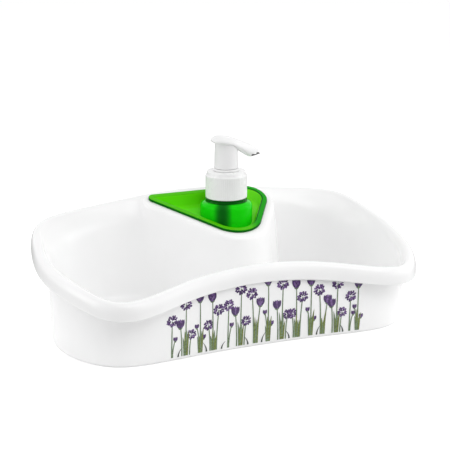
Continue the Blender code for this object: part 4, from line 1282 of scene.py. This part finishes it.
# By how much plants vary, as a share of the printed height
PLANT_PLAY = 0.04
STEM_STEPS = 10
LEAVES = 4
LEAF_STEPS = 8
LEAF_ROOM = 0.7
LEAF_LEAN = 0.9
LEAF_FULLNESS = 0.7
LEAF_REACH = (0.30, 0.20)
LEAF_WIDTH = 1.7
LEAF_SPAN = (0.30, 0.985)
STEM_WIDTHS = (1.05, 0.75)
BLADE_WIDTHS = (1.3, 0.15)
BLADE_STEPS = 6
GROUND = 2.6
PRINT_SEED = 7
PRINT_KNOTS = 3.6
PRINT_STEPS = 720
PRINT_TOP = 0.985
INK_STEP = 0.0001
RAY_START = 4.0 * MM
RAY_REACH = 20.0 * MM


class Sheet:
    """Flat ink shapes on the front wall."""

    def __init__(self):
        self.verts = []
        self.faces = []
        self.inks = []
        self.layers = []

    def stroke(self, points, widths, ink):
        """A line of changing width, as quads that share one layer."""
        slopes = np.gradient(points, axis=0)
        slopes /= np.linalg.norm(slopes, axis=1)[:, None]
        across = np.column_stack((-slopes[:, 1], slopes[:, 0])) * widths[:, None] / 2
        first = len(self.verts)
        self.verts.extend(points + across)
        self.verts.extend(points - across)
        count = len(points)
        for step in range(count - 1):
            a, b = first + step, first + count + step
            self.faces.append((a, a + 1, b + 1, b))
            self.inks.append(ink)
        self.layers.extend([len(self.faces)] * (2 * count))

    def petal(self, foot, turn, length, width, ink, sides):
        """A pointed oval that starts at its foot and leans by the turn from upright."""
        first = len(self.verts)
        for index in range(sides * 2):
            share = index / sides
            place = share if share <= 1 else 2 - share
            side = 1 if share <= 1 else -1
            x = width / 2 * math.sin(math.pi * place) ** PETAL_FULLNESS * side
            y = length * place
            self.verts.append((foot[0] + x * math.cos(turn) + y * math.sin(turn),
                               foot[1] - x * math.sin(turn) + y * math.cos(turn)))
        self.faces.append(tuple(range(first, len(self.verts))))
        self.inks.append(ink)
        self.layers.extend([len(self.faces)] * (2 * sides))

    def blade(self, line, widths, ink):
        """A stroke that narrows evenly from its first width to its last."""
        self.stroke(line, np.linspace(*widths, len(line)), ink)


def bend(place, height, lean, steps=STEM_STEPS):
    """A stem's line from the ground, leaning over towards its top."""
    t = np.linspace(0, 1, steps + 1)
    return np.column_stack((place + lean * t ** 2, GROUND + (height - GROUND) * t))


def draw_allium(sheet, top, size, dice):
    """A round flower head: small florets in a sunflower's order, the outer ones first."""
    length, width = (size * share for share in FLORET_SIZE)
    for index in reversed(range(FLORETS)):
        turn = FLORET_TURN * index
        reach = size * math.sqrt((index + 0.5) / FLORETS) * FLORET_REACH
        foot = (top[0] + reach * math.sin(turn), top[1] + reach * math.cos(turn))
        ink = LIGHT_VIOLET if dice.random() < LIGHT_FLORETS else VIOLET
        sheet.petal(foot, turn + dice.random() - 0.5, length, width, ink, FLORET_SIDES)


def draw_leaves(sheet, place, height, dice):
    """Long narrow leaves that rise from the foot of a bunch."""
    for index in range(LEAVES):
        side = index - (LEAVES - 1) / 2
        reach = height * (LEAF_REACH[0] + LEAF_REACH[1] * dice.random())
        line = bend(place + side * LEAF_ROOM, reach, side * LEAF_LEAN, LEAF_STEPS)
        rise = np.sin(math.pi * np.linspace(*LEAF_SPAN, len(line)))
        widths = LEAF_WIDTH * rise ** LEAF_FULLNESS
        sheet.stroke(line, widths, OLIVE if index % 2 else GREEN)


def draw_plants():
    dice = random.Random(PRINT_SEED)
    sheet = Sheet()
    for middle, bunch in MEADOW:
        room = printed_height(middle)
        for shift, share, lean, kind in BUNCHES[bunch]:
            height = room * (share + PLANT_PLAY * dice.random() - PLANT_PLAY / 2)
            line = bend(middle + shift, height, lean)
            sheet.blade(line, STEM_WIDTHS, GREEN)
            top = line[-1]
            if kind == "allium":
                draw_allium(sheet, top, ALLIUM_SIZE[0] + ALLIUM_SIZE[1] * share, dice)
            else:
                for drop, *petal in FLOWERS[kind]:
                    sheet.petal((top[0], top[1] - drop), *petal)
        if bunch != "lone":
            draw_leaves(sheet, middle, room, dice)
    for place, height, lean in BLADES:
        sheet.blade(bend(place, height, lean, BLADE_STEPS), BLADE_WIDTHS, DARK)
    return sheet


def wall_places(along_wall):
    """Places on the foot's outline for distances from the front's middle."""
    places = np.linspace(-PRINT_KNOTS, PRINT_KNOTS, PRINT_STEPS + 1)
    run = run_along(FOOT.at(places, 0.0))
    return np.interp(along_wall, run - run[PRINT_STEPS // 2], places)


def printed_height(along_wall):
    """The wall's height up to the skirt, in millimetres, at a distance from the middle."""
    u = wall_places(np.array([along_wall * MM]))
    return under_rim(u, WALL_DRAFT, ROLL_DROP)[0, 2] / MM


def on_wall(points):
    """Places on the tray's front wall for (along, up) points, and the ways out of it."""
    u = wall_places(points[:, 0] * MM)
    foot = at_foot(u, 0.0, FOOT_EDGE)
    top = under_rim(u, WALL_DRAFT, ROLL_DROP)
    share = (points[:, 1] * MM - foot[:, 2]) / (top[:, 2] - foot[:, 2])
    place = foot + (top - foot) * np.minimum(share, PRINT_TOP)[:, None]
    out = FOOT.at(u, 1.0) - FOOT.at(u, 0.0)
    return place, np.column_stack((out, np.zeros(len(out))))


def make_print(settings):
    """Lay the ink on the finished tray, a hair off its surface."""
    tray = bpy.data.objects["tray_shell"].data
    tree = BVHTree.FromPolygons([v.co for v in tray.vertices],
                                [p.vertices[:] for p in tray.polygons])
    sheet = draw_plants()
    places, outs = on_wall(np.array(sheet.verts))
    verts = []
    for place, out, layer in zip(places, outs, sheet.layers):
        away = Vector(out)
        spot = tree.ray_cast(Vector(place) + away * RAY_START, -away, RAY_REACH)[0]
        if spot is None:
            raise RuntimeError("a printed shape has left the front wall")
        verts.append(spot + away * (settings.lift + layer * INK_STEP * MM))
    ink = object_from("printed_meadow", verts, sheet.faces, "tray")
    inks = (("violet ink", settings.violet), ("light violet ink", settings.light_violet),
            ("grey green ink", settings.green), ("olive ink", settings.olive),
            ("dark ink", settings.dark))
    assign(ink, *[material(title, colour, roughness=0.3, drift=0.35, drift_scale=700.0,
                           ripple=0.02) for title, colour in inks])
    for polygon, number in zip(ink.data.polygons, sheet.inks):
        polygon.material_index = number


# Stage
def area_lamp(name, place, size, power):
    data = bpy.data.lights.new(name, "AREA")
    data.shape = "RECTANGLE"
    data.size, data.size_y = size
    data.energy = power
    lamp = bpy.data.objects.new(name, data)
    lamp.location = place
    lamp.rotation_euler = (LAMP_AIM - Vector(place)).to_track_quat("-Z", "Y").to_euler()
    bpy.context.collection.objects.link(lamp)


def make_world(strength, gap):
    """An even white tent, dimmer where it opens for the camera; seen directly it is plain white."""
    world = bpy.data.worlds.new("light tent")
    bpy.context.scene.world = world
    world.use_nodes = True
    tree = world.node_tree
    tree.nodes.clear()
    place = add_node(tree, "ShaderNodeTexCoord").outputs["Generated"]
    path = add_node(tree, "ShaderNodeLightPath").outputs
    toward = measure(tree, "DOT_PRODUCT", place, (*TENT_GAP, TENT_GAP_RISE))
    opening = fade(tree, toward, TENT_GAP_CONES, 1.0, 1.0 - gap)
    # Full strength for reflections, the setting's strength for everything else
    level = calculate(tree, "MULTIPLY_ADD", path["Is Glossy Ray"], 1.0 - strength, strength)
    light = add_node(tree, "ShaderNodeBackground", {
        "Color": WHITE, "Strength": calculate(tree, "MULTIPLY", opening, level)})
    white = add_node(tree, "ShaderNodeBackground", {"Color": WHITE})
    seen = calculate(tree, "MAXIMUM", path["Is Camera Ray"], path["Is Transmission Ray"])
    mix = add_node(tree, "ShaderNodeMixShader", {
        "Fac": seen, 1: light.outputs[0], 2: white.outputs[0]})
    add_node(tree, "ShaderNodeOutputWorld", {"Surface": mix.outputs[0]})


def floor_material(colour):
    """A pale matt table top: white where it is seen and less bright where the tent opens.

    Reflections see it dark far round the object, as black cards make it, so white edges show.
    """
    made, tree = new_material("pale table top")
    tree.nodes.clear()
    path = add_node(tree, "ShaderNodeLightPath").outputs
    place = add_node(tree, "ShaderNodeTexCoord").outputs["Object"]
    opening = fade(tree, measure(tree, "DOT_PRODUCT", place, (*TENT_GAP, 0.0)), FLOOR_GAP_RUN)
    far = fade(tree, measure(tree, "LENGTH", place), FLOOR_CARD_RUN)
    cards = calculate(tree, "MULTIPLY", far, path["Is Glossy Ray"])
    unseen = calculate(tree, "SUBTRACT", 1.0, path["Is Camera Ray"])
    dim = calculate(tree, "MULTIPLY", calculate(tree, "MAXIMUM", opening, cards), unseen)
    seen = calculate(tree, "MAXIMUM", path["Is Camera Ray"],
                     calculate(tree, "MAXIMUM", path["Is Glossy Ray"], path["Is Transmission Ray"]))
    strength = calculate(tree, "MULTIPLY", calculate(tree, "MULTIPLY", seen, FLOOR_GLOW),
                         calculate(tree, "SUBTRACT", 1.0, dim))
    shade = add_node(tree, "ShaderNodeMixRGB", {
        "Fac": dim, "Color1": (*colour, 1.0),
        "Color2": (*[channel * FLOOR_SHADE for channel in colour], 1.0)})
    matt = add_node(tree, "ShaderNodeBsdfDiffuse", {"Color": shade.outputs["Color"]})
    glow = add_node(tree, "ShaderNodeEmission", {"Strength": strength})
    both = add_node(tree, "ShaderNodeAddShader", {0: matt.outputs[0], 1: glow.outputs[0]})
    add_node(tree, "ShaderNodeOutputMaterial", {"Surface": both.outputs[0]})
    return made


def make_camera():
    data = bpy.data.cameras.new("photograph_camera")
    data.sensor_width = CAMERA_SENSOR
    data.lens = CAMERA_LENS
    data.clip_start = CAMERA_NEAR
    camera = bpy.data.objects.new("photograph_camera", data)
    turn, dip = CAMERA_TURN, CAMERA_DIP
    right = Vector((math.cos(turn), math.sin(turn), 0.0))
    ahead = Vector((-math.sin(turn) * math.cos(dip), math.cos(turn) * math.cos(dip),
                    -math.sin(dip)))
    axes = Matrix((right, right.cross(ahead), -ahead)).transposed()
    camera.matrix_world = Matrix.Translation(CAMERA_PLACE) @ axes.to_4x4()
    bpy.context.collection.objects.link(camera)
    bpy.context.scene.camera = camera


def make_stage(settings):
    corners = [(FLOOR_HALF * x, FLOOR_HALF * y, 0.0)
               for x, y in ((-1, -1), (1, -1), (1, 1), (-1, 1))]
    floor = object_from("table_top", corners, [(0, 1, 2, 3)], None)
    assign(floor, floor_material(settings.floor))
    make_world(settings.world, settings.gap)
    for side, (place, size) in SOFTBOXES.items():
        area_lamp(side + "_softbox", place, size, getattr(settings, side))
    make_camera()
    bpy.context.scene.view_settings.view_transform = "Standard"


# Operators
class SOAPHOLDER_OT_tray(bpy.types.Operator):
    """Make the tray with its rolled rim, two basins, hump and well"""
    bl_idname = "soapholder.tray"
    bl_label = "Tray"

    def execute(self, context):
        make_tray(context.scene.soapholder_tray)
        return {"FINISHED"}


class SOAPHOLDER_OT_print(bpy.types.Operator):
    """Print the meadow plants on the tray's front wall"""
    bl_idname = "soapholder.print"
    bl_label = "Printed Meadow"

    def execute(self, context):
        make_print(context.scene.soapholder_print)
        return {"FINISHED"}


class SOAPHOLDER_OT_tank(bpy.types.Operator):
    """Make the clear green soap tank"""
    bl_idname = "soapholder.tank"
    bl_label = "Soap Tank"

    def execute(self, context):
        make_tank(context.scene.soapholder_tank)
        return {"FINISHED"}


class SOAPHOLDER_OT_cover(bpy.types.Operator):
    """Make the tank's cover with its lip, recess, boss and threaded neck"""
    bl_idname = "soapholder.cover"
    bl_label = "Tank Cover"

    def execute(self, context):
        make_cover(context.scene.soapholder_tank)
        return {"FINISHED"}


class SOAPHOLDER_OT_collar(bpy.types.Operator):
    """Make the ribbed screw collar"""
    bl_idname = "soapholder.collar"
    bl_label = "Screw Collar"

    def execute(self, context):
        make_collar(context.scene.soapholder_pump)
        return {"FINISHED"}


class SOAPHOLDER_OT_head(bpy.types.Operator):
    """Make the pump head with its skirt, stem socket and nozzle"""
    bl_idname = "soapholder.head"
    bl_label = "Pump Head"

    def execute(self, context):
        make_head(context.scene.soapholder_pump)
        return {"FINISHED"}


class SOAPHOLDER_OT_mechanism(bpy.types.Operator):
    """Finish the pump's inner pieces: housing, piston, valves, spring, seal and dip tube"""
    bl_idname = "soapholder.mechanism"
    bl_label = "Pump Mechanism"

    def execute(self, context):
        make_mechanism(context.scene.soapholder_pump)
        return {"FINISHED"}


class SOAPHOLDER_OT_stage(bpy.types.Operator):
    """Make the table top, the soft light and the camera"""
    bl_idname = "soapholder.stage"
    bl_label = "Stage"

    def execute(self, context):
        make_stage(context.scene.soapholder_stage)
        return {"FINISHED"}


OPERATORS = (SOAPHOLDER_OT_tray, SOAPHOLDER_OT_print, SOAPHOLDER_OT_tank, SOAPHOLDER_OT_cover,
             SOAPHOLDER_OT_collar, SOAPHOLDER_OT_head, SOAPHOLDER_OT_mechanism,
             SOAPHOLDER_OT_stage)


class SOAPHOLDER_PT_panel(bpy.types.Panel):
    bl_label = "Dish Soap Holder"
    bl_idname = "SOAPHOLDER_PT_panel"
    bl_space_type = "VIEW_3D"
    bl_region_type = "UI"
    bl_category = "Soap Holder"

    def draw(self, context):
        for operator in OPERATORS:
            self.layout.operator(operator.bl_idname)


SETTINGS = {"soapholder_tray": TraySettings, "soapholder_print": PrintSettings,
            "soapholder_tank": TankSettings, "soapholder_pump": PumpSettings,
            "soapholder_stage": StageSettings}
CLASSES = (*SETTINGS.values(), *OPERATORS, SOAPHOLDER_PT_panel)


def register():
    for cls in CLASSES:
        bpy.utils.register_class(cls)
    for name, cls in SETTINGS.items():
        setattr(bpy.types.Scene, name, PointerProperty(type=cls))


def unregister():
    for name in SETTINGS:
        delattr(bpy.types.Scene, name)
    for cls in reversed(CLASSES):
        bpy.utils.unregister_class(cls)


def main():
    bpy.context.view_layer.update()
    register()
    bpy.ops.soapholder.tray()
    bpy.ops.soapholder.print()
    bpy.ops.soapholder.tank()
    bpy.ops.soapholder.cover()
    bpy.ops.soapholder.collar()
    bpy.ops.soapholder.head()
    bpy.ops.soapholder.mechanism()
    bpy.ops.soapholder.stage()


if __name__ == "__main__":
    main()
